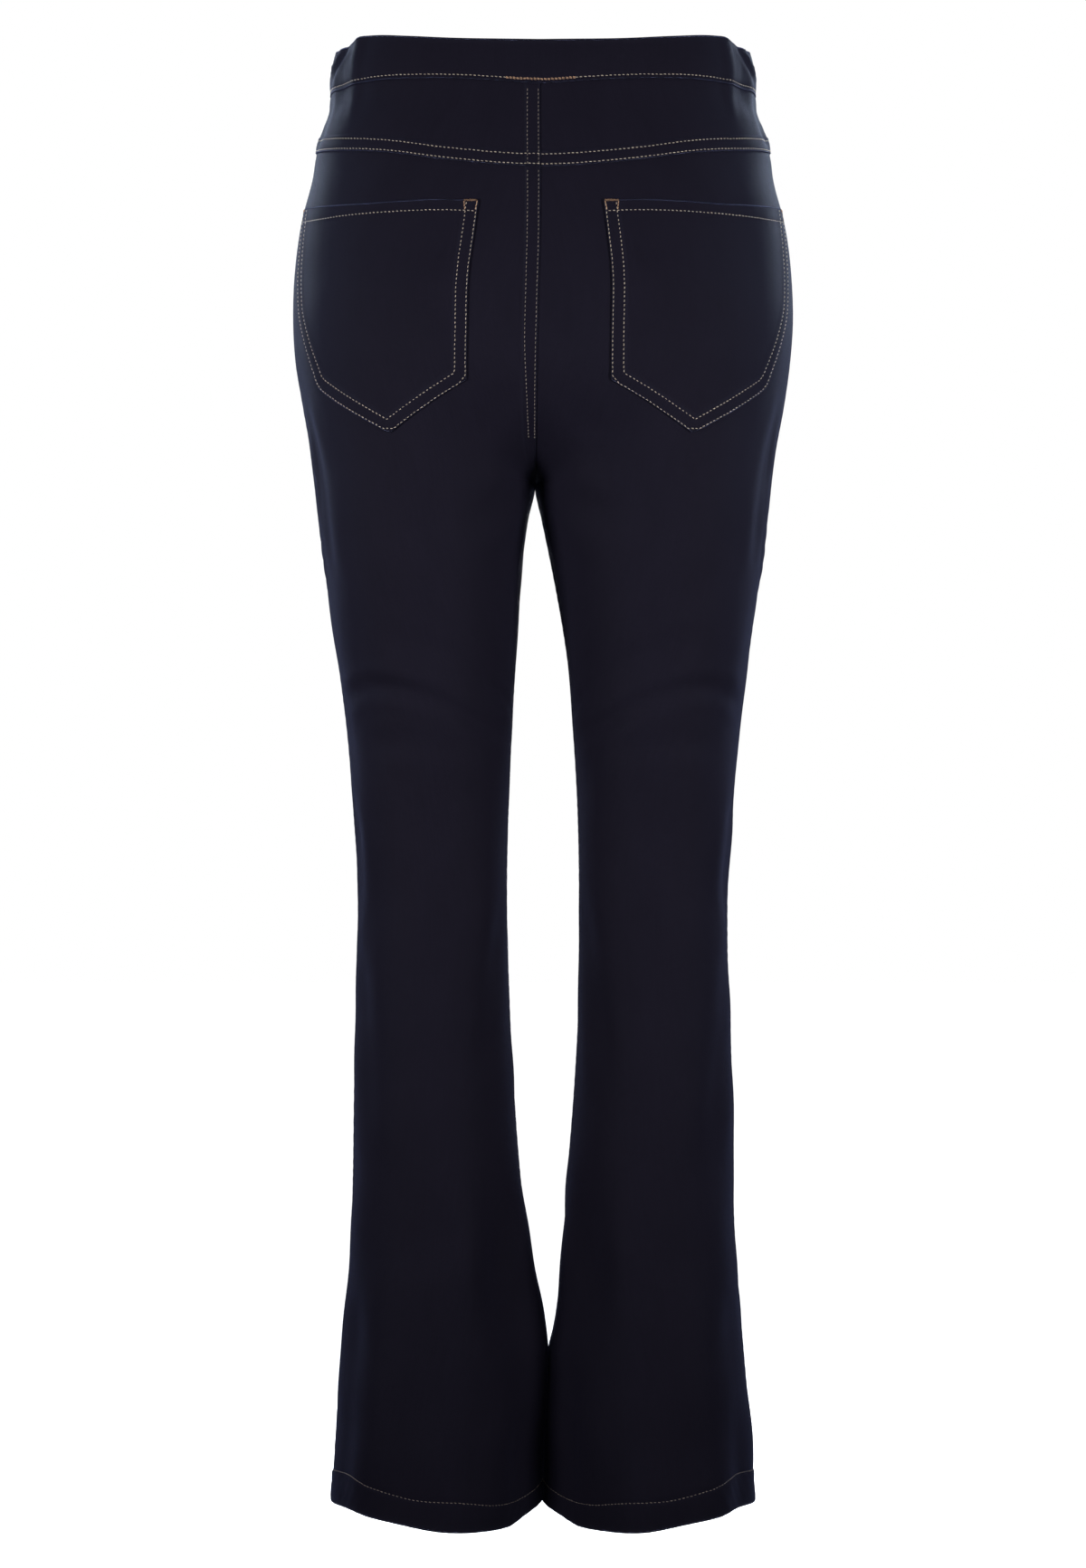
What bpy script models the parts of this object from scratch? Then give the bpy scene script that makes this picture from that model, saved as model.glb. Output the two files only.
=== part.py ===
"""Flared pull-on jeggings, filled out as if worn, in the panels that a maker would cut and sew.

Metres, +Z up. -Y is the garment's back and +Y its front, so +X is the wearer's right. The origin is the
middle of the waist, half way up the waistband, where the wearer holds the garment up.
"""

import math
from collections import namedtuple

import bmesh
import bpy
import numpy as np

# Cloth and seams
CLOTH = 0.0012
WAISTBAND_WALL = 0.0026
WAISTBAND_PROUD = 0.0007
HEM_WALL = 0.0022
HEM_STEP = 0.0010
HEM_DEPTH = 0.0215
POCKET_WALL = 0.0012
SEAM_GAP = 0.0004
LYING_GAP = 0.0003

# Where the torso's sections turn into the legs' rings, how high the crotch curves reach, and how far the
# centre seams lie in from the seat and the belly
LEG_BLEND_TOP = -0.2000
LEG_BLEND_END = -0.3500
CROTCH_Z = -0.2870
BACK_CROTCH_CURVE = 0.0950
FRONT_CROTCH_CURVE = 0.0750
CURVE_WIDTH = 0.35
HOLLOW_TOP = -0.1200
BACK_HOLLOW = 0.0060
FRONT_HOLLOW = 0.0020

# One row for each section of the figure that the cloth is cut for. z is its height, out the half-width at
# the side seam, gap the half-gap between the legs, back and front the depths behind and before the side
# seam, square the shape of the section, where 2 is an ellipse and more is squarer, and lean how far the
# centre seam or the gap between the legs lies to the right.
Section = namedtuple("Section", "z out gap back front square lean")
SECTIONS = [
    Section(0.0400, 0.1460, 0.0000, 0.0960, 0.0920, 2.60, -0.0020),
    Section(0.0230, 0.1478, 0.0000, 0.0960, 0.0920, 2.60, -0.0020),
    Section(0.0034, 0.1512, 0.0000, 0.0975, 0.0935, 2.60, -0.0020),
    Section(-0.0190, 0.1522, 0.0000, 0.1000, 0.0960, 2.55, -0.0020),
    Section(-0.0356, 0.1574, 0.0000, 0.1030, 0.0985, 2.50, -0.0020),
    Section(-0.0486, 0.1617, 0.0000, 0.1060, 0.0995, 2.45, -0.0020),
    Section(-0.0681, 0.1646, 0.0000, 0.1105, 0.1010, 2.40, -0.0018),
    Section(-0.1006, 0.1728, 0.0000, 0.1180, 0.1030, 2.35, -0.0018),
    Section(-0.1331, 0.1774, 0.0000, 0.1250, 0.1040, 2.30, -0.0022),
    Section(-0.1656, 0.1790, 0.0000, 0.1300, 0.1035, 2.30, -0.0032),
    Section(-0.1981, 0.1771, 0.0000, 0.1305, 0.1020, 2.25, -0.0040),
    Section(-0.2306, 0.1722, 0.0000, 0.1260, 0.0995, 2.25, -0.0046),
    Section(-0.2631, 0.1664, 0.0000, 0.1170, 0.0965, 2.25, -0.0052),
    Section(-0.2870, 0.1632, 0.0000, 0.1095, 0.0945, 2.25, -0.0057),
    Section(-0.3118, 0.1606, 0.0052, 0.1025, 0.0925, 2.20, -0.0060),
    Section(-0.3281, 0.1586, 0.0081, 0.0985, 0.0915, 2.20, -0.0055),
    Section(-0.3606, 0.1543, 0.0127, 0.0920, 0.0890, 2.15, -0.0036),
    Section(-0.3931, 0.1498, 0.0166, 0.0855, 0.0865, 2.15, -0.0018),
    Section(-0.4256, 0.1453, 0.0198, 0.0790, 0.0835, 2.10, -0.0006),
    Section(-0.4581, 0.1412, 0.0218, 0.0735, 0.0805, 2.10, -0.0004),
    Section(-0.5231, 0.1358, 0.0250, 0.0650, 0.0740, 2.10, 0.0000),
    Section(-0.5881, 0.1323, 0.0260, 0.0605, 0.0675, 2.10, 0.0000),
    Section(-0.6206, 0.1324, 0.0257, 0.0605, 0.0650, 2.10, 0.0003),
    Section(-0.6531, 0.1338, 0.0250, 0.0620, 0.0640, 2.10, 0.0008),
    Section(-0.7181, 0.1355, 0.0218, 0.0665, 0.0640, 2.10, 0.0007),
    Section(-0.7831, 0.1364, 0.0168, 0.0710, 0.0660, 2.10, 0.0006),
    Section(-0.8156, 0.1372, 0.0138, 0.0735, 0.0680, 2.10, 0.0020),
    Section(-0.8481, 0.1391, 0.0105, 0.0760, 0.0700, 2.10, 0.0033),
    Section(-0.8806, 0.1417, 0.0055, 0.0785, 0.0730, 2.10, 0.0044),
    Section(-0.9112, 0.1443, 0.0012, 0.0810, 0.0760, 2.10, 0.0036),
    Section(-0.9781, 0.1495, 0.0008, 0.0860, 0.0820, 2.05, 0.0010),
    Section(-1.0180, 0.1512, 0.0008, 0.0885, 0.0850, 2.05, 0.0000),
    Section(-1.0400, 0.1518, 0.0008, 0.0890, 0.0860, 2.05, 0.0000),
]

# Edges and seams along a quarter of the garment: f runs from 0 at the centre seam, or below it the inseam,
# to 1 at the side seam
Edge = namedtuple("Edge", "f z")
BACK_WAIST_TOP = [
    Edge(0, 0.0150),
    Edge(0.27, 0.0171),
    Edge(0.40, 0.0200),
    Edge(0.52, 0.0229),
    Edge(0.58, 0.0236),
    Edge(0.63, 0.0221),
    Edge(0.70, 0.0199),
    Edge(1, 0.0190),
]
FRONT_WAIST_TOP = [
    Edge(0, 0.0115),
    Edge(0.35, 0.0130),
    Edge(0.70, 0.0175),
    Edge(1, 0.0190),
]
BACK_WAIST_SEAM = [
    Edge(0, -0.0176),
    Edge(0.16, -0.0140),
    Edge(0.33, -0.0114),
    Edge(0.50, -0.0101),
    Edge(0.69, -0.0109),
    Edge(1, -0.0090),
]
FRONT_WAIST_SEAM = [
    Edge(0, -0.0200),
    Edge(0.35, -0.0182),
    Edge(0.70, -0.0122),
    Edge(1, -0.0090),
]
YOKE_SEAM = [
    Edge(0, -0.0768),
    Edge(0.16, -0.0734),
    Edge(0.27, -0.0698),
    Edge(0.41, -0.0634),
    Edge(0.61, -0.0573),
    Edge(1, -0.0495),
]
BACK_HEM = [
    Edge(0, -1.0075),
    Edge(0.12, -1.0152),
    Edge(0.25, -1.0229),
    Edge(0.46, -1.0216),
    Edge(0.69, -1.0145),
    Edge(0.80, -1.0122),
    Edge(1, -1.0148),
]
FRONT_HEM = [
    Edge(0, -1.0075),
    Edge(0.25, -1.0140),
    Edge(0.50, -1.0160),
    Edge(0.75, -1.0155),
    Edge(1, -1.0148),
]

# Back pocket: how far its inner and outer side lie from the centre seam, along the cloth
PocketRow = namedtuple("PocketRow", "z inner outer")
POCKET = [
    PocketRow(-0.0985, 0.0425, 0.2020),
    PocketRow(-0.1225, 0.0455, 0.2035),
    PocketRow(-0.1450, 0.0482, 0.2050),
    PocketRow(-0.1650, 0.0492, 0.2035),
    PocketRow(-0.1900, 0.0492, 0.1930),
    PocketRow(-0.2235, 0.0495, 0.1735),
]
POCKET_MOUTH = [
    Edge(0.16, -0.0997),
    Edge(0.27, -0.0989),
    Edge(0.43, -0.0990),
    Edge(0.59, -0.0973),
    Edge(0.80, -0.0935),
]
POCKET_TIP_Z = -0.2585

# Below the pocket, a back panel's columns even out over this height
COLUMNS_EVEN_OUT = 0.1500

# Mesh density: columns of a back panel inside, under and outside its pocket, and rows between guide lines
BACK_COLUMNS = (3, 7, 2)
TIP_COLUMN = 4
FRONT_COLUMNS = 11
WAISTBAND_ROWS = 2
YOKE_ROWS = 3
YOKE_TO_POCKET_ROWS = 2
POCKET_ROWS = 6
POCKET_TO_CROTCH_ROWS = 6
WAIST_TO_CURVE_ROWS = 8
CURVE_ROWS = 6
LEG_ROWS = 30

# The form is worked out on a fine net, from which the panels' points are read
FORM_TOP = 0.0400
FORM_BOTTOM = -1.0400
NET_ROWS = 541
NET_COLUMNS = 129
NORMAL_REACH_F = 0.012
NORMAL_REACH_Z = 0.003
EDGE_ROUNDS = 4

# How steep a smooth curve through knots may be beside the straight lines between them, and how steep it is
# where it turns back
STEEPEST = 2.5
STEEPNESS_AT_TURN = 0.25

SHARP_ANGLE = math.radians(40)
INDIGO = (0.013, 0.014, 0.030, 1.0)
ROUGHNESS = 0.85


def hermite(knots, values, at):
    """Values on a smooth curve through the knots, which need not be even."""
    knots, values, at = (np.asarray(a, float) for a in (knots, values, at))
    if knots[0] > knots[-1]:
        knots, values = knots[::-1], values[::-1]
    steps = np.diff(knots)
    slopes = np.diff(values) / steps
    tangents = np.empty_like(values)
    tangents[0], tangents[-1] = slopes[0], slopes[-1]
    before, after = slopes[:-1], slopes[1:]
    mean = (before * steps[1:] + after * steps[:-1]) / (steps[1:] + steps[:-1])
    limit = STEEPEST * np.minimum(abs(before), abs(after))
    at_turn = STEEPNESS_AT_TURN * mean
    tangents[1:-1] = np.where(before * after > 0, np.clip(mean, -limit, limit), at_turn)
    place = np.clip(at, knots[0], knots[-1])
    k = np.clip(np.searchsorted(knots, place, side="right") - 1, 0, len(steps) - 1)
    h = steps[k]
    t = (place - knots[k]) / h
    rise = values[k + 1] - values[k]
    start, end = tangents[k] * h, tangents[k + 1] * h
    return values[k] + t * (start + t * ((3 * rise - 2 * start - end) + t * (start + end - 2 * rise)))


def smooth(t):
    t = np.clip(t, 0.0, 1.0)
    return t * t * (3 - 2 * t)


def along(edge, f):
    return hermite([e.f for e in edge], [e.z for e in edge], f)


def size_at(name, z):
    """A column of the table of sections at heights z."""
    return hermite([s.z for s in SECTIONS], [getattr(s, name) for s in SECTIONS], z)


def superellipse(angle, across, deep, square):
    """Points of a superellipse at polar angles taken on its unit circle."""
    c, s = np.cos(angle), np.sin(angle)
    reach = (abs(c) ** square + abs(s) ** square) ** (-1.0 / square)
    return across * c * reach, deep * s * reach


class Quarter:
    """The back or front of the form on one side, from the centre seam or inseam to the side seam.

    Its sections are a quarter of the torso above and half the ring of a leg below. Between them the cloth
    curves under to the crotch. A point is found by its height z and by f, its share of the turn from the
    centre to the side.
    """

    def __init__(self, name):
        self.heading = -1.0 if name == "back" else 1.0
        self.curve = BACK_CROTCH_CURVE if name == "back" else FRONT_CROTCH_CURVE
        hollow = BACK_HOLLOW if name == "back" else FRONT_HOLLOW
        self.z = np.linspace(FORM_TOP, FORM_BOTTOM, NET_ROWS)
        z = self.z[:, None]
        t = np.linspace(0.0, 1.0, NET_COLUMNS)[None, :]
        out, gap, square, deep = (size_at(c, z) for c in ("out", "gap", "square", name))
        torso_x, torso_y = superellipse(math.pi / 2 * (1 - t), out, deep, square)
        way_down = np.clip((HOLLOW_TOP - z) / (HOLLOW_TOP - CROTCH_Z), 0.0, 1.0)
        torso_y = torso_y - hollow * np.sin(math.pi * way_down) ** 2 * (1 - smooth(t / CURVE_WIDTH))
        leg_x, leg_y = superellipse(math.pi * (1 - t), (out - gap) / 2, deep, square)
        leg_x = leg_x + (out + gap) / 2
        fall = np.clip((z - CROTCH_Z) / self.curve, 0.0, 1.0)
        leg_at_centre = 1 - np.sqrt(1 - (1 - fall) ** 2)
        leg_at_side = smooth((LEG_BLEND_TOP - z) / (LEG_BLEND_TOP - LEG_BLEND_END))
        leg = leg_at_centre + (leg_at_side - leg_at_centre) * smooth(t / CURVE_WIDTH)
        self.x = torso_x + (leg_x - torso_x) * leg
        self.y = self.heading * (torso_y + (leg_y - torso_y) * leg)
        steps = np.hypot(np.diff(self.x, axis=1), np.diff(self.y, axis=1))
        self.across = np.concatenate([np.zeros((NET_ROWS, 1)), np.cumsum(steps, axis=1)], axis=1)

    def turn(self, across, z):
        """f of points at a distance along the cloth from the centre seam."""
        f = np.linspace(0.0, 1.0, NET_COLUMNS)
        across, z = np.broadcast_arrays(np.asarray(across, float), np.asarray(z, float))
        rows = np.rint((self.z[0] - z) / (self.z[0] - self.z[1])).astype(int)
        turns = [np.interp(a, self.across[row], f) for a, row in zip(across.flat, rows.flat)]
        return np.array(turns).reshape(z.shape)

    def point(self, side, f, z):
        """Points of the form on one side, -1 for the left and +1 for the right."""
        f, z = np.broadcast_arrays(np.asarray(f, float), np.asarray(z, float))
        row = np.clip((self.z[0] - z) / (self.z[0] - self.z[1]), 0, NET_ROWS - 1)
        column = np.clip(f, 0.0, 1.0) * (NET_COLUMNS - 1)
        i = np.minimum(row.astype(int), NET_ROWS - 2)
        j = np.minimum(column.astype(int), NET_COLUMNS - 2)
        u, v = row - i, column - j

        def read(net):
            upper = net[i, j] * (1 - v) + net[i, j + 1] * v
            lower = net[i + 1, j] * (1 - v) + net[i + 1, j + 1] * v
            return upper * (1 - u) + lower * u

        x = side * (read(self.x) + SEAM_GAP / 2) + size_at("lean", z) * (1 - f) ** 2
        return np.stack([x, read(self.y), z], axis=-1)

    def normal(self, side, f, z):
        """Unit normals out of the form, from its points a few millimetres away."""
        outer = self.point(side, np.minimum(f + NORMAL_REACH_F, 1), z)
        inner = self.point(side, np.maximum(f - NORMAL_REACH_F, 0), z)
        upper = self.point(side, f, z + NORMAL_REACH_Z)
        lower = self.point(side, f, z - NORMAL_REACH_Z)
        normal = np.cross(upper - lower, outer - inner) * side * self.heading
        return normal / np.linalg.norm(normal, axis=-1, keepdims=True)


BACK = Quarter("back")
FRONT = Quarter("front")


def back_f(z):
    """f of a back panel's columns at heights z, one column of z for each. Two of them follow the pocket."""
    heights = [row.z for row in POCKET]
    inner = hermite(heights, [row.inner for row in POCKET], z)
    outer = hermite(heights, [row.outer for row in POCKET], z)
    inside, under, outside = BACK_COLUMNS
    even = smooth((POCKET_TIP_Z - z) / COLUMNS_EVEN_OUT)
    pocket_z = np.maximum(z, POCKET[-1].z)
    f_inner = BACK.turn(inner, pocket_z) * (1 - even) + inside / sum(BACK_COLUMNS) * even
    f_outer = BACK.turn(outer, pocket_z) * (1 - even) + (1 - outside / sum(BACK_COLUMNS)) * even
    trim = BACK.turn(SEAM_GAP / 2, z)
    marks = [trim, f_inner, f_outer, 1 - trim]
    f = np.empty_like(z)
    column = 0
    for start, end, count in zip(marks, marks[1:], BACK_COLUMNS):
        for i in range(count + 1):
            f[..., column + i] = (start + (end - start) * i / count)[..., column + i]
        column += count
    return f


def front_f(z):
    """f of a front panel's columns at heights z, one column of z for each."""
    trim = FRONT.turn(SEAM_GAP / 2, z)
    return trim + (1 - 2 * trim) * np.linspace(0, 1, z.shape[-1])


def edge_heights(edge, columns, count):
    """Heights of an edge at the columns, whose places depend on the height in turn."""
    f = np.linspace(0, 1, count + 1)
    for _ in range(EDGE_ROUNDS):
        z = along(edge, f)
        f = columns(z)
    return z


def rows_between(start, end, count):
    """Even rows from start to end, without the end."""
    return [start + (end - start) * i / count for i in range(count)]


def rows_to_crotch(start, f, curve, count):
    """Rows down to the crotch. At the centre they follow the curve under it at an even pace."""
    turn = np.arccos(np.clip(1 - (start - CROTCH_Z) / curve, 0.0, 1.0))
    at_centre = 1 - smooth(f / CURVE_WIDTH)
    rows = []
    for i, even in enumerate(rows_between(start, CROTCH_Z, count)):
        curved = CROTCH_Z + curve * (1 - np.cos(turn * (1 - i / count)))
        rows.append(even + (curved - even) * at_centre)
    return rows


def leg_rows(hem):
    """Rows from the crotch to the hem, with a step where the hem's turning begins."""
    turning = hem + HEM_DEPTH
    rows = rows_between(np.full_like(hem, CROTCH_Z), turning + HEM_STEP, LEG_ROWS)
    return rows + [turning + HEM_STEP, turning, hem]


def leg_wall(z):
    """Wall of a leg panel at every point of its rows: doubled in the hem."""
    wall = np.full_like(z, CLOTH)
    wall[-2:] = HEM_WALL
    return wall


def faces(quarter, side, f, z, wall, proud=0.0):
    """Points of the outer and the inner face of a wall on the form."""
    points = quarter.point(side, f, z)
    normals = quarter.normal(side, f, z)
    outer = points + normals * proud
    inner = points + normals * (proud - np.asarray(wall))[..., None]
    return outer, inner


def add_solid(name, outer, inner):
    """A closed wall between two nets of points, in rows from the top down."""
    bm = bmesh.new()
    rows, columns = outer.shape[:2]
    nets = [[[bm.verts.new(point) for point in row] for row in net] for net in (outer, inner)]
    for net in nets:
        for r in range(rows - 1):
            for c in range(columns - 1):
                bm.faces.new((net[r][c], net[r + 1][c], net[r + 1][c + 1]))
                bm.faces.new((net[r][c], net[r + 1][c + 1], net[r][c + 1]))
    rim = [(0, c) for c in range(columns - 1)]
    rim += [(r, columns - 1) for r in range(rows - 1)]
    rim += [(rows - 1, c) for c in range(columns - 1, 0, -1)]
    rim += [(r, 0) for r in range(rows - 1, 0, -1)]
    front, back = nets
    for (r, c), (s, d) in zip(rim, rim[1:] + rim[:1]):
        bm.faces.new((front[r][c], back[r][c], back[s][d], front[s][d]))
    bmesh.ops.recalc_face_normals(bm, faces=bm.faces)
    mesh = bpy.data.meshes.new(name)
    bm.to_mesh(mesh)
    bm.free()
    mesh.materials.append(DENIM)
    mesh.shade_smooth()
    mesh.set_sharp_from_angle(angle=SHARP_ANGLE)
    PARTS.objects.link(bpy.data.objects.new(name, mesh))


def waistband(name, quarter, top, seam, columns, count):
    """Half of the elastic waistband, from one side seam over the centre to the other."""
    upper = edge_heights(top, columns, count)
    lower = edge_heights(seam, columns, count) + SEAM_GAP / 2
    z = np.array(rows_between(upper, lower, WAISTBAND_ROWS) + [lower])
    f = columns(z)
    f[:, 0] = 0.0
    wall = np.full_like(z, WAISTBAND_WALL)
    left = faces(quarter, -1, f, z, wall, WAISTBAND_PROUD)
    right = faces(quarter, 1, f, z, wall, WAISTBAND_PROUD)
    outer, inner = (np.concatenate([a[:, :0:-1], b], axis=1) for a, b in zip(left, right))
    add_solid(name, outer, inner)


def yoke(name, side):
    """Half of the back yoke."""
    count = sum(BACK_COLUMNS)
    upper = edge_heights(BACK_WAIST_SEAM, back_f, count) - SEAM_GAP / 2
    lower = edge_heights(YOKE_SEAM, back_f, count) + SEAM_GAP / 2
    z = np.array(rows_between(upper, lower, YOKE_ROWS) + [lower])
    add_solid(name, *faces(BACK, side, back_f(z), z, np.full_like(z, CLOTH)))


def pocket_bottom():
    """Heights of a back panel's columns along the pocket's pointed bottom edge."""
    inside, under, _ = BACK_COLUMNS
    knots = (inside, inside + TIP_COLUMN, inside + under)
    heights = (POCKET[-1].z, POCKET_TIP_Z, POCKET[-1].z)
    return np.interp(np.arange(sum(BACK_COLUMNS) + 1), knots, heights)


def back_leg(suffix, side):
    """A back leg panel, and the patch pocket that lies on it."""
    count = sum(BACK_COLUMNS)
    seam = edge_heights(YOKE_SEAM, back_f, count) - SEAM_GAP / 2
    mouth = edge_heights(POCKET_MOUTH, back_f, count)
    bottom = pocket_bottom()
    hem = edge_heights(BACK_HEM, back_f, count)
    rows = rows_between(seam, mouth, YOKE_TO_POCKET_ROWS)
    rows += rows_between(mouth, bottom, POCKET_ROWS)
    rows += rows_to_crotch(bottom, back_f(bottom), BACK.curve, POCKET_TO_CROTCH_ROWS)
    rows += leg_rows(hem)
    z = np.array(rows)
    f = back_f(z)
    add_solid("back_leg_" + suffix, *faces(BACK, side, f, z, leg_wall(z)))
    inside, under, _ = BACK_COLUMNS
    pocket_rows = slice(YOKE_TO_POCKET_ROWS, YOKE_TO_POCKET_ROWS + POCKET_ROWS + 1)
    pocket = (pocket_rows, slice(inside, inside + under + 1))
    wall = np.full_like(z[pocket], POCKET_WALL)
    pocket_faces = faces(BACK, side, f[pocket], z[pocket], wall, LYING_GAP + POCKET_WALL)
    add_solid("pocket_" + suffix, *pocket_faces)


def front_leg(suffix, side):
    """A front leg panel, which runs up to the waistband."""
    seam = edge_heights(FRONT_WAIST_SEAM, front_f, FRONT_COLUMNS) - SEAM_GAP / 2
    curve_top = np.full_like(seam, CROTCH_Z + FRONT.curve)
    hem = edge_heights(FRONT_HEM, front_f, FRONT_COLUMNS)
    rows = rows_between(seam, curve_top, WAIST_TO_CURVE_ROWS)
    rows += rows_to_crotch(curve_top, front_f(curve_top), FRONT.curve, CURVE_ROWS)
    rows += leg_rows(hem)
    z = np.array(rows)
    add_solid("front_leg_" + suffix, *faces(FRONT, side, front_f(z), z, leg_wall(z)))


def denim():
    material = bpy.data.materials.new("dark_indigo_denim")
    material.use_nodes = True
    shader = material.node_tree.nodes["Principled BSDF"]
    shader.inputs["Base Color"].default_value = INDIGO
    shader.inputs["Roughness"].default_value = ROUGHNESS
    shader.inputs["Metallic"].default_value = 0.0
    return material


for old in list(bpy.data.objects):
    bpy.data.objects.remove(old)
PARTS = bpy.data.collections.new("flared_jeggings")
bpy.context.scene.collection.children.link(PARTS)
DENIM = denim()

waistband("waistband_back", BACK, BACK_WAIST_TOP, BACK_WAIST_SEAM, back_f, sum(BACK_COLUMNS))
waistband("waistband_front", FRONT, FRONT_WAIST_TOP, FRONT_WAIST_SEAM, front_f, FRONT_COLUMNS)
for suffix, side in (("left", -1), ("right", 1)):
    yoke("yoke_" + suffix, side)
    back_leg(suffix, side)
    front_leg(suffix, side)
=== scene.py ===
"""Looks of the flared jeggings: stretch denim, seams, stitching, creases, light and camera.

Metres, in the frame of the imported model: +Z up, the garment's back towards -Y. The cloth lies on the same
form as the solids, worked out from the same table of sections.
"""

import math

import bpy
import numpy as np
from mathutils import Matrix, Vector


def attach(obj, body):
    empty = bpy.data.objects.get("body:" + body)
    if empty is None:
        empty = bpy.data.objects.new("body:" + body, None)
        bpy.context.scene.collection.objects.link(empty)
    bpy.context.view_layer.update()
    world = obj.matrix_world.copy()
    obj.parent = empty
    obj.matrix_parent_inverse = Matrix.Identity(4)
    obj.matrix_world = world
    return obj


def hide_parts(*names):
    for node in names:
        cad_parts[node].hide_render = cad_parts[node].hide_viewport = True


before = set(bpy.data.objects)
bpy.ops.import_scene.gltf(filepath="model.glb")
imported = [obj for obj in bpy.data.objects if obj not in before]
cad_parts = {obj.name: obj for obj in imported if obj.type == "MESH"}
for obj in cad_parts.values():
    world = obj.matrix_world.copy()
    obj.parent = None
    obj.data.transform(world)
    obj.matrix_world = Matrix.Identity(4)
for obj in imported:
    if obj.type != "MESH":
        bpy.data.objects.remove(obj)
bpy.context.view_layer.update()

# Cloth
CLOTH = 0.0012
LAPPED_WALL = 0.00085
WAISTBAND_WALL = 0.0026
WAISTBAND_PROUD = 0.0007
WAISTBAND_SWELL = 0.0004
HEM_WALL = 0.0022
HEM_DEPTH = 0.0215
POCKET_WALL = 0.0012
POCKET_WALL_MOST = 0.0022
LYING_GAP = 0.0003
SEAM_HALF_GAP = 0.00004
CENTRE_ROUNDING = 0.045
LAP = 0.0003
UNDERLAP = 0.0030
SIDE_IN = CLOTH / 2 + SEAM_HALF_GAP
WAISTBAND_SIDE_IN = 0.00003

# The form
LEG_BLEND_TOP = -0.2000
LEG_BLEND_END = -0.3500
CROTCH_Z = -0.2870
BACK_CROTCH_CURVE = 0.0950
FRONT_CROTCH_CURVE = 0.0750
CURVE_WIDTH = 0.35
HOLLOW_TOP = -0.1200
BACK_HOLLOW = 0.0060
FRONT_HOLLOW = 0.0020

# Tables that are multiplied by MM, edges and creases hold millimetres
MM = 0.001

# One row for each section: its height, half-width at the side seam, half-gap between the legs, depths behind
# and before the side seam, squareness, and how far the centre lies to the right
SECTION_COLUMNS = ("z", "out", "gap", "back", "front", "square", "lean")
SECTIONS = np.array([
    (40, 146, 0, 96, 92, 2.6, -2),
    (23, 147.8, 0, 96, 92, 2.6, -2),
    (3.4, 151.2, 0, 97.5, 93.5, 2.6, -2),
    (-19, 152.2, 0, 100, 96, 2.55, -2),
    (-35.6, 157.4, 0, 103, 98.5, 2.5, -2),
    (-48.6, 161.7, 0, 106, 99.5, 2.45, -2),
    (-68.1, 164.6, 0, 110.5, 101, 2.4, -1.8),
    (-100.6, 172.8, 0, 118, 103, 2.35, -1.8),
    (-133.1, 177.4, 0, 125, 104, 2.3, -2.2),
    (-165.6, 179, 0, 130, 103.5, 2.3, -3.2),
    (-198.1, 177.1, 0, 130.5, 102, 2.25, -4),
    (-230.6, 172.2, 0, 126, 99.5, 2.25, -4.6),
    (-263.1, 166.4, 0, 117, 96.5, 2.25, -5.2),
    (-287, 163.2, 0, 109.5, 94.5, 2.25, -5.7),
    (-311.8, 160.6, 5.2, 102.5, 92.5, 2.2, -6),
    (-328.1, 158.6, 8.1, 98.5, 91.5, 2.2, -5.5),
    (-360.6, 154.3, 12.7, 92, 89, 2.15, -3.6),
    (-393.1, 149.8, 16.6, 85.5, 86.5, 2.15, -1.8),
    (-425.6, 145.3, 19.8, 79, 83.5, 2.1, -0.6),
    (-458.1, 141.2, 21.8, 73.5, 80.5, 2.1, -0.4),
    (-523.1, 135.8, 25, 65, 74, 2.1, 0),
    (-588.1, 132.3, 26, 60.5, 67.5, 2.1, 0),
    (-620.6, 132.4, 25.7, 60.5, 65, 2.1, 0.3),
    (-653.1, 133.8, 25, 62, 64, 2.1, 0.8),
    (-718.1, 135.5, 21.8, 66.5, 64, 2.1, 0.7),
    (-783.1, 136.4, 16.8, 71, 66, 2.1, 0.6),
    (-815.6, 137.2, 13.8, 73.5, 68, 2.1, 2),
    (-848.1, 139.1, 10.5, 76, 70, 2.1, 3.3),
    (-880.6, 141.7, 5.5, 78.5, 73, 2.1, 4.4),
    (-911.2, 144.3, 1.2, 81, 76, 2.1, 3.6),
    (-978.1, 149.5, 0.8, 86, 82, 2.05, 1),
    (-1018, 151.2, 0.8, 88.5, 85, 2.05, 0),
    (-1040, 151.8, 0.8, 89, 86, 2.05, 0),
]) * (MM, MM, MM, MM, MM, 1, MM)

# Edges and seams along a quarter of the garment, as pairs of f and height. f goes from 0 at the centre seam
# or inseam to 1 at the side seam.
BACK_WAIST_TOP = ((0, 15), (0.27, 17.1), (0.4, 20), (0.52, 22.9), (0.58, 23.6), (0.63, 22.1), (0.7, 19.9),
                  (1, 19))
FRONT_WAIST_TOP = ((0, 11.5), (0.35, 13), (0.7, 17.5), (1, 19))
BACK_WAIST_SEAM = ((0, -17.6), (0.16, -14), (0.33, -11.4), (0.5, -10.1), (0.69, -10.9), (1, -9))
FRONT_WAIST_SEAM = ((0, -20), (0.35, -18.2), (0.7, -12.2), (1, -9))
YOKE_SEAM = ((0, -76.8), (0.16, -73.4), (0.27, -69.8), (0.41, -63.4), (0.61, -57.3), (1, -49.5))
BACK_HEM = ((0, -1007.5), (0.12, -1015.2), (0.25, -1022.9), (0.46, -1021.6), (0.69, -1014.5), (0.8, -1012.2),
            (1, -1014.8))
FRONT_HEM = ((0, -1007.5), (0.25, -1014), (0.5, -1016), (0.75, -1015.5), (1, -1014.8))
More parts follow.
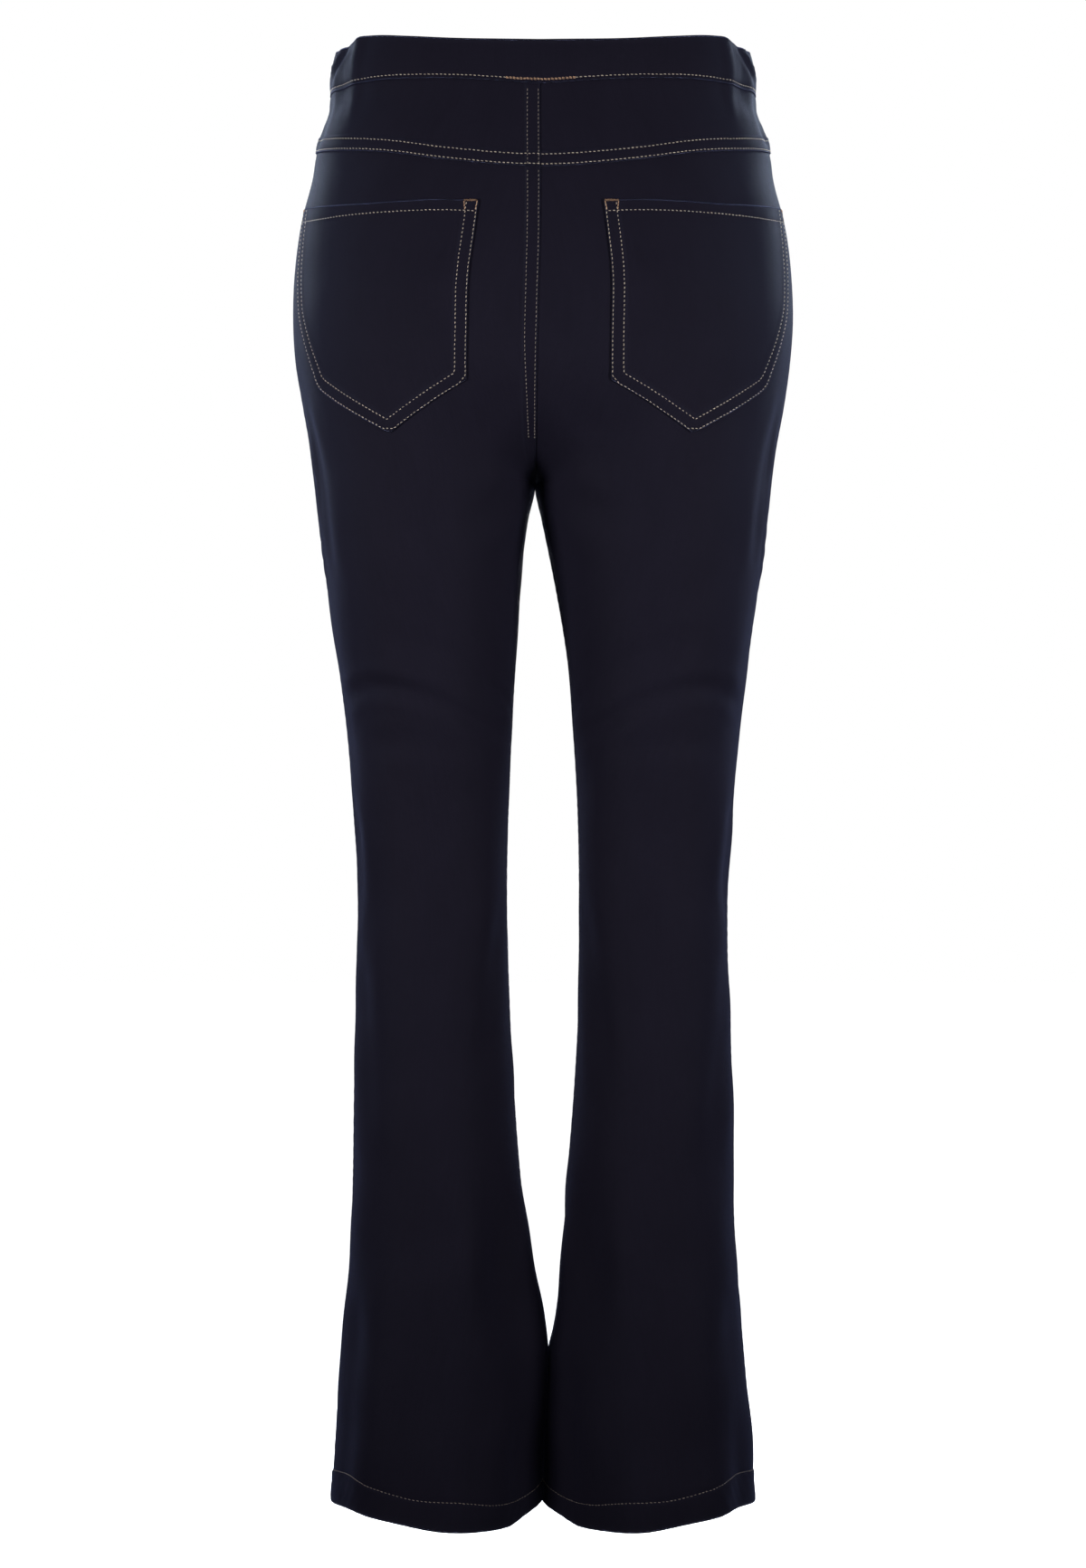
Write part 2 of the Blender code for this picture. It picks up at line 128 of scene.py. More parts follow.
BACK_HEM_STITCH = ((0, -989), (0.1, -1000), (0.21, -1006.4), (0.3, -1005.7), (0.43, -1001.2), (0.57, -999.3),
                   (0.68, -994.2), (0.82, -988.4), (1, -992.5))
FRONT_HEM_STITCH = ((0, -989), (0.25, -993.5), (0.5, -995.2), (0.75, -994.5), (1, -992.5))

# Back pocket. Each row holds a height, and the distances of the two sides from the centre seam
POCKET = np.array([
    (-98.5, 42.5, 202),
    (-122.5, 45.5, 203.5),
    (-145, 48.2, 205),
    (-165, 49.2, 203.5),
    (-190, 49.2, 193),
    (-223.5, 49.5, 173.5),
]) * MM
POCKET_MOUTH = ((0.16, -99.7), (0.27, -98.9), (0.43, -99), (0.59, -97.3), (0.8, -93.5))
POCKET_MOUTH_STITCH = ((0.16, -107.8), (0.2, -107), (0.27, -106.4), (0.42, -106.1), (0.62, -105.8),
                       (0.8, -103.6))
POCKET_SIDE_TOP = -0.088
POCKET_CORNER_Z = -0.2235
POCKET_TIP_Z = -0.2585
POCKET_TIP_SHARE = 4 / 7

# Topstitching: rows of it lie at these distances from the edge of the piece that they hold
WAISTBAND_STITCH = 0.0031
YOKE_STITCHES = (0.0017, 0.0088)
CENTRE_STITCHES = (0.0012, 0.0090)
POCKET_STITCHES = (0.0011, 0.0085)
YOKE_CENTRE_ROWS = (-0.0195, -0.0750)
SEAT_CENTRE_ROWS = (-0.0780, -0.2600)
STITCH_PITCH = 0.0030
STITCH_HOLE = 0.0012
THREAD_RADIUS = 0.00025
FINE_RADIUS = 0.00020
TACK_RADIUS = 0.00030

# Felled seams and turned edges stand out by this much, over this width
YOKE_FELL = 0.0008
YOKE_FELL_WIDTH = 0.0102
CENTRE_FELL = 0.0009
CENTRE_FELL_WIDTH = 0.0104
FRONT_LAP_WIDTH = 0.0040
POCKET_TURN = 0.0003
POCKET_TURN_WIDTH = 0.0110
MOUTH_TURN = 0.0003
SIDE_TURN = 0.0003
SIDE_TURN_WIDTH = 0.0100
ALLOWANCE = 0.0006
TURN_SOFTNESS = 0.0016

# Ripples across stitched seams: their size, the distance over which they fade, and their pitch
PUCKERS = {
    "side": (0.00022, 0.0045, 0.0085),
    "inseam": (0.00020, 0.0045, 0.0085),
    "centre_back": (0.00015, 0.0030, 0.0085),
    "centre_fell": (0.00010, 0.0020, 0.0061),
    "waistband": (0.00022, 0.0040, 0.0062),
    "yoke": (0.00013, 0.0025, 0.0064),
    "under_yoke": (0.00018, 0.0040, 0.0070),
    "hem": (0.00028, 0.0050, 0.0090),
    "pocket": (0.00016, 0.0025, 0.0066),
    "mouth": (0.00020, 0.0045, 0.0085),
}
# Grooves that the stitches pull into the cloth: depth and width
GROOVES = {
    "seam": (0.00022, 0.0008),
    "waistband": (0.00035, 0.0010),
    "hem": (0.00030, 0.0010),
    "pocket": (0.00026, 0.0008),
    "mouth": (0.00028, 0.0008),
}

# Creases and soft folds: the side, depth, width, and pairs of f and height on the path. Depth is below 0 for
# a trough and above 0 for a ridge, and side is -1 for the left, 1 for the right and 0 for both.
BACK_CREASES = (
    # Behind the knee
    (-1, -2, 6.4, (0.97, -447), (0.7, -432.5), (0.48, -441), (0.29, -458), (0.06, -470)),
    (1, -1.9, 6.6, (0.97, -449), (0.68, -433.5), (0.46, -442), (0.27, -459), (0.06, -470)),
    (0, -0.9, 8.5, (0.8, -474), (0.55, -472), (0.26, -484)),
    (0, -0.5, 8.5, (0.72, -396), (0.45, -408), (0.16, -430)),
    (0, -1, 5, (0.36, -414), (0.18, -438), (0.03, -452)),
    # Flat where the cloth bends in at the outer side of the knee
    (0, -1.3, 10, (0.97, -500), (0.895, -535), (0.89, -566), (0.97, -622)),
    # Soft fold down the outer thigh, with the cloth drawn in behind it
    (0, 1.2, 3, (0.865, -236), (0.88, -285), (0.905, -322), (0.97, -376)),
    (0, -1.4, 5.5, (0.93, -230), (0.94, -285), (0.965, -330), (0.99, -375)),
    (0, -1.2, 8, (0.835, -215), (0.825, -285), (0.85, -362)),
    # Under the seat
    (-1, -1.3, 9.5, (0.08, -266), (0.18, -296), (0.28, -315), (0.4, -324)),
    (1, -1.3, 9.5, (0.08, -264), (0.17, -292), (0.27, -309), (0.42, -321)),
    (0, -0.6, 8, (0.08, -312), (0.16, -332), (0.26, -358)),
    (0, -0.8, 7, (0.04, -222), (0.13, -243), (0.22, -266)),
    # Down from the side of the knee
    (-1, -1.4, 12, (0.9, -603), (0.81, -680), (0.74, -790)),
    (1, -1.3, 12, (0.9, -606), (0.8, -690), (0.73, -780)),
    (0, -1.2, 11, (0.1, -560), (0.2, -640), (0.3, -730)),
    # Flare
    (-1, -6, 18, (0.28, -730), (0.225, -850), (0.19, -940), (0.18, -1110)),
    (1, -5.6, 18.5, (0.28, -740), (0.225, -855), (0.19, -940), (0.18, -1110)),
    (0, -3.8, 26, (0.34, -820), (0.32, -940), (0.31, -1120)),
    (0, 2.2, 15, (0.45, -800), (0.43, -900), (0.42, -1110)),
    (0, -1.8, 15, (0.56, -850), (0.57, -950), (0.58, -1110)),
    (0, 1.2, 16, (0.7, -830), (0.71, -940), (0.72, -1110)),
    (0, -1.2, 16, (0.83, -840), (0.84, -940), (0.85, -1110)),
    # Between the waistband and the yoke seam at the side
    (0, 0.8, 4.2, (0.985, -2), (0.95, -22), (0.905, -38), (0.85, -58)),
    (0, -1.2, 6, (0.99, -12), (0.965, -32), (0.93, -56)),
    (0, -0.9, 7, (0.83, -4), (0.825, -56)),
    # Side of the waistband, drawn in beyond a soft upright fold
    (0, 0.8, 4.5, (0.6, 55), (0.594, 6), (0.6, -45)),
    (0, -1.5, 9, (0.68, 60), (0.685, 10), (0.7, -35)),
    (0, -1, 2.8, (0.66, 22), (0.73, 9), (0.81, -5)),
    (0, -0.9, 2.6, (0.74, 24), (0.82, 10), (0.9, -1)),
    (0, 1, 2.8, (0.72, 18), (0.79, 6), (0.86, -7)),
)
# Those of the front are like the back's
FRONT_CREASES = (
    (0, -2.2, 7, (0.06, -236), (0.3, -222), (0.55, -206), (0.78, -196)),
    (-1, -1.8, 6, (0.05, -266), (0.28, -254), (0.52, -242)),
    (1, -1.8, 6, (0.05, -268), (0.27, -257), (0.49, -246)),
    (0, -1.2, 6, (0.08, -206), (0.28, -192), (0.42, -186)),
    (0, -1.4, 5.5, (0.03, -300), (0.16, -318), (0.3, -324)),
    (-1, -1.7, 8.5, (0.1, -459), (0.45, -444), (0.84, -452)),
    (1, -1.6, 8.5, (0.1, -455), (0.43, -448), (0.84, -455)),
    (-1, -1.4, 8, (0.16, -490), (0.5, -481), (0.84, -491)),
    (1, -1.3, 8, (0.18, -487), (0.52, -483), (0.8, -494)),
    (0, -1, 8, (0.2, -424), (0.46, -416), (0.72, -421)),
    (0, 1.4, 5.5, (0.88, -215), (0.875, -290), (0.9, -378)),
    (0, -1.8, 7.5, (0.94, -220), (0.93, -300), (0.96, -370)),
    (0, -4.5, 15, (0.28, -780), (0.22, -890), (0.2, -1110)),
    (0, 2.6, 15, (0.44, -820), (0.45, -930), (0.46, -1110)),
    (0, -2.4, 14, (0.72, -820), (0.74, -930), (0.76, -1110)),
)
CREASE_STEPS = 28
CREASE_END = 0.30
CREASE_REACH = 3.2
# A crease has soft shoulders of the other sign: their share of its depth, distance and width
SHOULDER, SHOULDER_AWAY, SHOULDER_WIDTH = 0.35, 1.8, 0.8

# Long shallow waves of the slack cloth: how often they repeat across and down, per metre, phase and share
WAVES = (
    (9.0, 4.1, 0.4, 0.40),
    (-5.2, 9.7, 1.9, 0.35),
    (13.7, -3.3, 3.1, 0.25),
    (4.4, 16.3, 5.0, 0.20),
    (18.9, 7.7, 2.2, 0.15),
)
SIDE_SHIFT = 0.221
FRONT_SHIFT = 0.357
SLACK = ((0.04, 0.0002), (-0.20, 0.0005), (-0.45, 0.0009), (-0.70, 0.0010), (-1.05, 0.0015))

NET_ROWS = 541
NET_COLUMNS = 129
FORM_TOP = 0.0400
FORM_BOTTOM = -1.0400
REACH_F = 0.006
REACH_Z = 0.0015
INSIDE_NET = 0.001
TURN_TRIES = 8
TURN_STEP = 0.004
STEEPEST = 2.5
STEEPNESS_AT_TURN = 0.25
FULL_TURN = 2 * math.pi


def hermite(knots, values, at):
    """Values on a smooth curve through the knots, which need not be even."""
    knots, values, at = (np.asarray(a, float) for a in (knots, values, at))
    if knots[0] > knots[-1]:
        knots, values = knots[::-1], values[::-1]
    steps = np.diff(knots)
    slopes = np.diff(values) / steps
    tangents = np.empty_like(values)
    tangents[0], tangents[-1] = slopes[0], slopes[-1]
    before, after = slopes[:-1], slopes[1:]
    mean = (before * steps[1:] + after * steps[:-1]) / (steps[1:] + steps[:-1])
    limit = STEEPEST * np.minimum(abs(before), abs(after))
    tangents[1:-1] = np.where(before * after > 0, np.clip(mean, -limit, limit), STEEPNESS_AT_TURN * mean)
    place = np.clip(at, knots[0], knots[-1])
    k = np.clip(np.searchsorted(knots, place, side="right") - 1, 0, len(steps) - 1)
    h = steps[k]
    t = (place - knots[k]) / h
    rise = values[k + 1] - values[k]
    start, end = tangents[k] * h, tangents[k + 1] * h
    return values[k] + t * (start + t * ((3 * rise - 2 * start - end) + t * (start + end - 2 * rise)))


def unit(vectors):
    return vectors / np.linalg.norm(vectors, axis=-1, keepdims=True)


def smooth(t):
    t = np.clip(t, 0.0, 1.0)
    return t * t * (3 - 2 * t)


def beyond(distance, limit, soft):
    """0 up to a limit, then a soft rise to 1."""
    return smooth((distance - limit) / soft)


def within(distance, limit, soft):
    """1 up to a limit, then a soft fall to 0."""
    return 1 - beyond(distance, limit, soft)


def bump(distance, width):
    return np.exp(-((distance / width) ** 2))


def band(distance, width, height):
    """A strip along an edge that is thicker by height."""
    return height * within(distance, width, TURN_SOFTNESS)


def groove(kind, distance):
    depth, width = GROOVES[kind]
    return -depth * bump(distance, width)


def pucker(kind, distance, place):
    size, fade, pitch = PUCKERS[kind]
    turns = place / pitch + 0.35 * np.sin(place / 0.021) + 0.3 * np.sin(place / 0.0137 + 1.0)
    return -size * np.exp(-abs(distance) / fade) * (0.5 + 0.5 * np.sin(FULL_TURN * turns))


def along(edge, f):
    knots = np.array(edge)
    return hermite(knots[:, 0], knots[:, 1] * MM, f)


def level(f):
    """The share of the turn, rounded off at the centre seam, so that edges cross it without a corner."""
    return np.sqrt(f * f + CENTRE_ROUNDING ** 2)


def size_at(name, z):
    return hermite(SECTIONS[:, 0], SECTIONS[:, SECTION_COLUMNS.index(name)], z)


def superellipse(angle, across, deep, square):
    c, s = np.cos(angle), np.sin(angle)
    reach = (abs(c) ** square + abs(s) ** square) ** (-1.0 / square)
    return across * c * reach, deep * s * reach


class Quarter:
    """The back or front of the form, from the centre seam or inseam (f = 0) to the side seam (f = 1)."""

    def __init__(self, name, heading, curve, hollow, edges, creases):
        self.name, self.heading, self.curve, self.hollow = name, heading, curve, hollow
        self.waist_top, self.waist_seam, self.hem, self.hem_stitch = edges
        f, z = np.meshgrid(np.linspace(0, 1, NET_COLUMNS), np.linspace(FORM_TOP, FORM_BOTTOM, NET_ROWS))
        x, y = self.outline(f, z)
        steps = np.hypot(np.diff(x, axis=1), np.diff(y, axis=1))
        self.across = np.concatenate([np.zeros((NET_ROWS, 1)), np.cumsum(steps, axis=1)], axis=1)
        self.creases = [self.lay(*crease) for crease in creases]

    def lay(self, side, depth, width, *knots):
        """A crease whose path is many short straight steps, in from the side seam and down the cloth."""
        place, t = np.linspace(0, 1, len(knots)), np.linspace(0, 1, CREASE_STEPS + 1)
        f, z = (hermite(place, values, t) for values in zip(*knots))
        z = z * MM
        return side, depth * MM, width * MM, np.stack([self.length(z) - self.reach(f, z), z], axis=-1)

    def outline(self, f, z):
        out, gap, square, deep = (size_at(c, z) for c in ("out", "gap", "square", self.name))
        torso_x, torso_y = superellipse(math.pi / 2 * (1 - f), out, deep, square)
        way_down = np.clip((HOLLOW_TOP - z) / (HOLLOW_TOP - CROTCH_Z), 0.0, 1.0)
        torso_y = torso_y - self.hollow * np.sin(math.pi * way_down) ** 2 * within(abs(f), 0, CURVE_WIDTH)
        leg_x, leg_y = superellipse(math.pi * (1 - f), (out - gap) / 2, deep, square)
        leg_x = leg_x + (out + gap) / 2
        fall = np.clip((z - CROTCH_Z) / self.curve, 0.0, 1.0)
        leg_at_centre = 1 - np.sqrt(1 - (1 - fall) ** 2)
        leg_at_side = smooth((LEG_BLEND_TOP - z) / (LEG_BLEND_TOP - LEG_BLEND_END))
        leg = leg_at_centre + (leg_at_side - leg_at_centre) * beyond(abs(f), 0, CURVE_WIDTH)
        return torso_x + (leg_x - torso_x) * leg, self.heading * (torso_y + (leg_y - torso_y) * leg)

    def reach(self, f, z):
        """Distance along the cloth from the centre seam or inseam."""
        last_row, last_column = NET_ROWS - 1, NET_COLUMNS - 1 - INSIDE_NET
        row = np.clip((FORM_TOP - z) / (FORM_TOP - FORM_BOTTOM) * last_row, 0, last_row - INSIDE_NET)
        column = np.clip(abs(f), 0.0, 1.0) * last_column
        i, j = row.astype(int), column.astype(int)
        u, v = row - i, column - j
        upper = self.across[i, j] * (1 - v) + self.across[i, j + 1] * v
        lower = self.across[i + 1, j] * (1 - v) + self.across[i + 1, j + 1] * v
        return np.sign(f) * (upper * (1 - u) + lower * u)

    def length(self, z):
        return self.reach(np.ones_like(np.asarray(z, float)), np.asarray(z, float))

    def turn(self, across, z):
        """f of points at a distance along the cloth from the centre seam or inseam."""
        across, z = np.broadcast_arrays(np.asarray(across, float), np.asarray(z, float))
        f = across / self.length(z)
        for _ in range(TURN_TRIES):
            slope = (self.reach(f + TURN_STEP, z) - self.reach(f - TURN_STEP, z)) / (2 * TURN_STEP)
            f = f - np.clip((self.reach(f, z) - across) / np.maximum(slope, 0.05), -0.1, 0.1)
            f = np.clip(f, -0.1, 1.0)
        return f

    def point(self, side, f, z):
        f, z = np.broadcast_arrays(np.asarray(f, float), np.asarray(z, float))
        x, y = self.outline(f, z)
        return np.stack([side * x + size_at("lean", z) * (1 - f) ** 2, y, z], axis=-1)

    def normal(self, side, f, z):
        steps = ((REACH_F, 0), (-REACH_F, 0), (0, REACH_Z), (0, -REACH_Z))
        outer, inner, upper, lower = (self.point(side, np.minimum(f + df, 1), z + dz) for df, dz in steps)
        return unit(np.cross(upper - lower, outer - inner) * side * self.heading)


BACK = Quarter("back", -1.0, BACK_CROTCH_CURVE, BACK_HOLLOW,
               (BACK_WAIST_TOP, BACK_WAIST_SEAM, BACK_HEM, BACK_HEM_STITCH), BACK_CREASES)
FRONT = Quarter("front", 1.0, FRONT_CROTCH_CURVE, FRONT_HOLLOW,
                (FRONT_WAIST_TOP, FRONT_WAIST_SEAM, FRONT_HEM, FRONT_HEM_STITCH), FRONT_CREASES)


class Spot:
    """Points of a quarter on one side. across and rest are their distances along the cloth from the centre
    seam or inseam and from the side seam, and torso is 1 above the crotch and 0 below it."""

    def __init__(self, quarter, side, f, z):
        self.quarter, self.side = quarter, side
        self.f, self.z = np.broadcast_arrays(np.asarray(f, float), np.asarray(z, float))
        self.across = quarter.reach(self.f, self.z)
        self.rest = quarter.length(self.z) - self.across
        self.torso = beyond(self.z, CROTCH_Z - 0.004, 0.030)

    def above(self, edge):
        """Height over an edge that crosses the centre seam."""
        return self.z - along(edge, level(self.f))

    def over(self, edge):
        """Height over an edge that ends at the centre seam or inseam, or short of it."""
        return self.z - along(edge, self.f)


def nearest(path, u, v):
    """Distance of points from a path of straight steps, and where on it they are, counted in steps."""
    best, place = np.full(u.shape, np.inf), np.zeros(u.shape)
    for i, (a, b) in enumerate(zip(path, path[1:])):
        d = b - a
        t = np.clip(((u - a[0]) * d[0] + (v - a[1]) * d[1]) / (d @ d), 0, 1)
        away = np.hypot(u - a[0] - t * d[0], v - a[1] - t * d[1])
        place = np.where(away < best, i + t, place)
        best = np.minimum(away, best)
    return best, place


def run_along(points):
    """Distances of a path's points from its first one, along the path."""
    return np.concatenate([[0], np.cumsum(np.linalg.norm(np.diff(points, axis=0), axis=1))])


def relief(at):
    """How far the cloth lies off the form: creases, folds and shallow waves, which end at the seams."""
    slack = np.interp(-at.z, [-z for z, _ in SLACK], [size for _, size in SLACK])
    shift = SIDE_SHIFT * at.side + (FRONT_SHIFT if at.quarter is FRONT else 0.0)
    total = np.zeros_like(at.z)
    for across, down, phase, share in WAVES:
        turns = across * at.rest * at.side + down * at.z + phase / FULL_TURN + shift
        total += slack * share * np.sin(FULL_TURN * turns)
    for side, depth, width, path in at.quarter.creases:
        if side not in (0, at.side):
            continue
        low, high = path.min(axis=0) - CREASE_REACH * width, path.max(axis=0) + CREASE_REACH * width
        near = (at.rest > low[0]) & (at.rest < high[0]) & (at.z > low[1]) & (at.z < high[1])
        if not near.any():
            continue
        distance, step = nearest(path, at.rest[near], at.z[near])
        s, place = distance / width, step / CREASE_STEPS
        profile = bump(s, 1) - SHOULDER * bump(s - SHOULDER_AWAY, SHOULDER_WIDTH)
        taper = smooth(place / CREASE_END) * smooth((1 - place) / CREASE_END)
        uneven = 1 + 0.18 * np.sin(9.0 * place + at.side)
        total[near] += depth * profile * taper * uneven
    return total * smooth(at.across / 0.010) * smooth(at.rest / 0.007)


def centre_narrowing(z):
    """How much narrower the felled centre seam gets towards the crotch."""
    return 0.0028 * beyond(-z, 0.190, 0.065)


def centre_fell(at):
    """How much thicker the left panels are in the fell or lap of the centre seam."""
    if at.quarter is FRONT:
        return band(at.across, FRONT_LAP_WIDTH, CENTRE_FELL)
    return band(at.across + centre_narrowing(at.z), CENTRE_FELL_WIDTH, CENTRE_FELL)


def seam_lift(at):
    """What every leg panel and yoke has along its side seam, inseam and centre seam."""
    lift = pucker("side", at.rest, at.z) + pucker("inseam", at.across, at.z) * (1 - at.torso)
    if at.quarter is FRONT:
        lift += pucker("inseam", at.across, at.z) * at.torso
        if at.side < 0:
            lift += centre_fell(at) * at.torso * beyond(-at.above(FRONT_WAIST_SEAM), 0.004, 0.012)
        return lift
    lift += band(at.rest, SIDE_TURN_WIDTH, SIDE_TURN)
    lift += band(at.across, SIDE_TURN_WIDTH, SIDE_TURN) * (1 - at.torso)
    if at.side > 0:
        return lift + pucker("centre_back", at.across, at.z) * at.torso
    fell = centre_fell(at)
    for k, line in enumerate(CENTRE_STITCHES):
        away = at.across + k * centre_narrowing(at.z) - line
        fell += groove("seam", away) + pucker("centre_fell", away, at.z)
    return lift + fell * at.torso


def gathers(at, above, size):
    """Fine upright gathers that the elastic draws up, under and on the waistband."""
    turns = at.across / 0.0078 + 0.5 * np.sin(at.across / 0.017)
    turns += 0.35 * np.sin(at.across / 0.0066 + at.z * 60)
    share = 0.12 + 0.88 * beyond(at.f, 0.55, 0.25) if at.quarter is BACK else 0.75
    return size * share * np.sin(FULL_TURN * turns) * np.exp(-abs(above) / 0.014)


def waistband_lift(at):
    low, high = at.above(at.quarter.waist_seam), -at.above(at.quarter.waist_top)
    share = np.clip(low / (low + high), 0, 1)
    lift = WAISTBAND_PROUD + WAISTBAND_SWELL * np.sin(math.pi * share)
    away = low - WAISTBAND_STITCH
    lift += groove("waistband", away) + pucker("waistband", away, at.across)
    if at.quarter is BACK:
        width = CENTRE_FELL_WIDTH if at.side < 0 else 0.0002
        lift += band(at.across, width, CENTRE_FELL) * within(low, 0.004, 0.012)
    return lift + gathers(at, low - 0.012, 0.00026)


def tuck(depth, below, start):
    """The top edge of a panel goes in under its neighbour."""
    return -depth * within(below, start, 0.003)


def yoke_lift(at):
    low, under = at.above(YOKE_SEAM), at.above(BACK_WAIST_SEAM)
    lift = seam_lift(at) + band(low, YOKE_FELL_WIDTH, YOKE_FELL)
    for line in YOKE_STITCHES:
        lift += groove("seam", low - line) + pucker("yoke", low - line, at.across)
    return lift + tuck(0.0003, -under, -0.001) + gathers(at, under, 0.00030)


def hem_lift(at):
    """The doubled hem, roped between its edge and its stitches."""
    low, over = at.over(at.quarter.hem), at.over(at.quarter.hem_stitch)
    turns = (at.across + 0.7 * low) / 0.0105 + 0.3 * np.sin(at.across / 0.019)
    roping = 0.00022 * np.sin(FULL_TURN * turns) * beyond(-over, -0.0005, 0.002) * smooth(low / 0.004 + 0.4)
    lift = 0.00045 * within(over, -0.0010, 0.0022) + roping
    lift += groove("hem", over) + pucker("hem", over, at.across)
    return lift * within(low, HEM_DEPTH + 0.010, 0.02)


def touching(at):
    """The two flares press on each other at the inseams."""
    return 0.0004 * within(at.across, 0.010, 0.015) * beyond(-at.z, 0.880, 0.03)


def back_leg_lift(at):
    below = -at.above(YOKE_SEAM)
    ripple = pucker("under_yoke", below, at.across)
    return seam_lift(at) + hem_lift(at) + tuck(0.00025, below, 0) + ripple + touching(at)


def front_leg_lift(at):
    under = at.above(FRONT_WAIST_SEAM)
    lift = seam_lift(at) + hem_lift(at) + tuck(0.0003, -under, -0.001) + touching(at)
    return lift + gathers(at, under, 0.00034)


def pocket_edges(z):
    z = np.clip(z, POCKET_CORNER_Z, None)
    return hermite(POCKET[:, 0], POCKET[:, 1], z), hermite(POCKET[:, 0], POCKET[:, 2], z)


def pocket_turn(share, z):
    """f on the pocket, at a share of its width from its inner side to its outer."""
    held = np.clip(z, POCKET_CORNER_Z, None)
    f_inner, f_outer = (BACK.turn(edge, held) for edge in pocket_edges(held))
    return f_inner + (f_outer - f_inner) * share


def pocket_bottom(share):
    return np.interp(share, [0, POCKET_TIP_SHARE, 1], [POCKET_CORNER_Z, POCKET_TIP_Z, POCKET_CORNER_Z])


def pocket_outline():
    """The pocket's sides and point, across and down the cloth, from the inner top to the outer top."""
    down = np.linspace(POCKET_SIDE_TOP, POCKET_CORNER_Z, 40)
    inner, outer = (np.stack([edge, down], axis=-1) for edge in pocket_edges(down))
    share = np.concatenate([np.linspace(0, POCKET_TIP_SHARE, 14), np.linspace(POCKET_TIP_SHARE, 1, 14)[1:]])
    z = pocket_bottom(share)
    bottom = np.stack([BACK.reach(pocket_turn(share, z), z), z], axis=-1)
    return np.concatenate([inner, bottom[1:], outer[-2::-1]])


POCKET_PATH = pocket_outline()
POCKET_RUN = run_along(POCKET_PATH)


def pocket_lift(at):
    distance, step = nearest(POCKET_PATH, at.across, at.z)
    place = np.interp(step, np.arange(len(POCKET_RUN)), POCKET_RUN)
    mouth, hem = -at.over(POCKET_MOUTH), -at.over(POCKET_MOUTH_STITCH)
    lift = LYING_GAP + POCKET_WALL + back_leg_lift(at)
    lift += band(distance, POCKET_TURN_WIDTH, POCKET_TURN) + band(hem, 0.0006, MOUTH_TURN)
    for line in POCKET_STITCHES:
        lift += groove("pocket", distance - line) + pucker("pocket", distance - line, place)
    lift += groove("mouth", hem) + pucker("mouth", hem, at.across)
    slack = beyond(distance, 0.008, 0.03)
    return lift + 0.0006 * slack * within(mouth, 0.05, 0.08) + 0.0003 * slack


def skin(at, lift):
    """Points on the outer face of a piece, and the normals of the form there."""
    normals = at.quarter.normal(at.side, at.f, at.z)
    height = relief(at) + lift(at)
    return at.quarter.point(at.side, at.f, at.z) + normals * height[..., None], normals


def add_mesh(name, points, faces, materials, uv, slots=None, values=None):
    mesh = bpy.data.meshes.new(name)
    mesh.from_pydata(points.reshape(-1, 3).tolist(), [], faces.tolist())
    corners = np.empty(len(mesh.loops), np.int32)
    mesh.loops.foreach_get("vertex_index", corners)
    mesh.uv_layers.new(name="cloth").uv.foreach_set("vector", uv[corners].astype(np.float32).ravel())
    for key, numbers in (values or {}).items():
        attribute = mesh.attributes.new(key, "FLOAT", "POINT")
        attribute.data.foreach_set("value", numbers.astype(np.float32))
    for material in materials:
        mesh.materials.append(material)
    if slots is not None:
        mesh.polygons.foreach_set("material_index", slots.astype(np.int32))
    mesh.polygons.foreach_set("use_smooth", np.ones(len(faces), bool))
    mesh.update()
    piece = bpy.data.objects.new(name, mesh)
    bpy.context.scene.collection.objects.link(piece)
    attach(piece, "root")
    return piece


RIM_TURNS = (30, 60, 90, 120, 150)
RIM_WEAR = 0.06


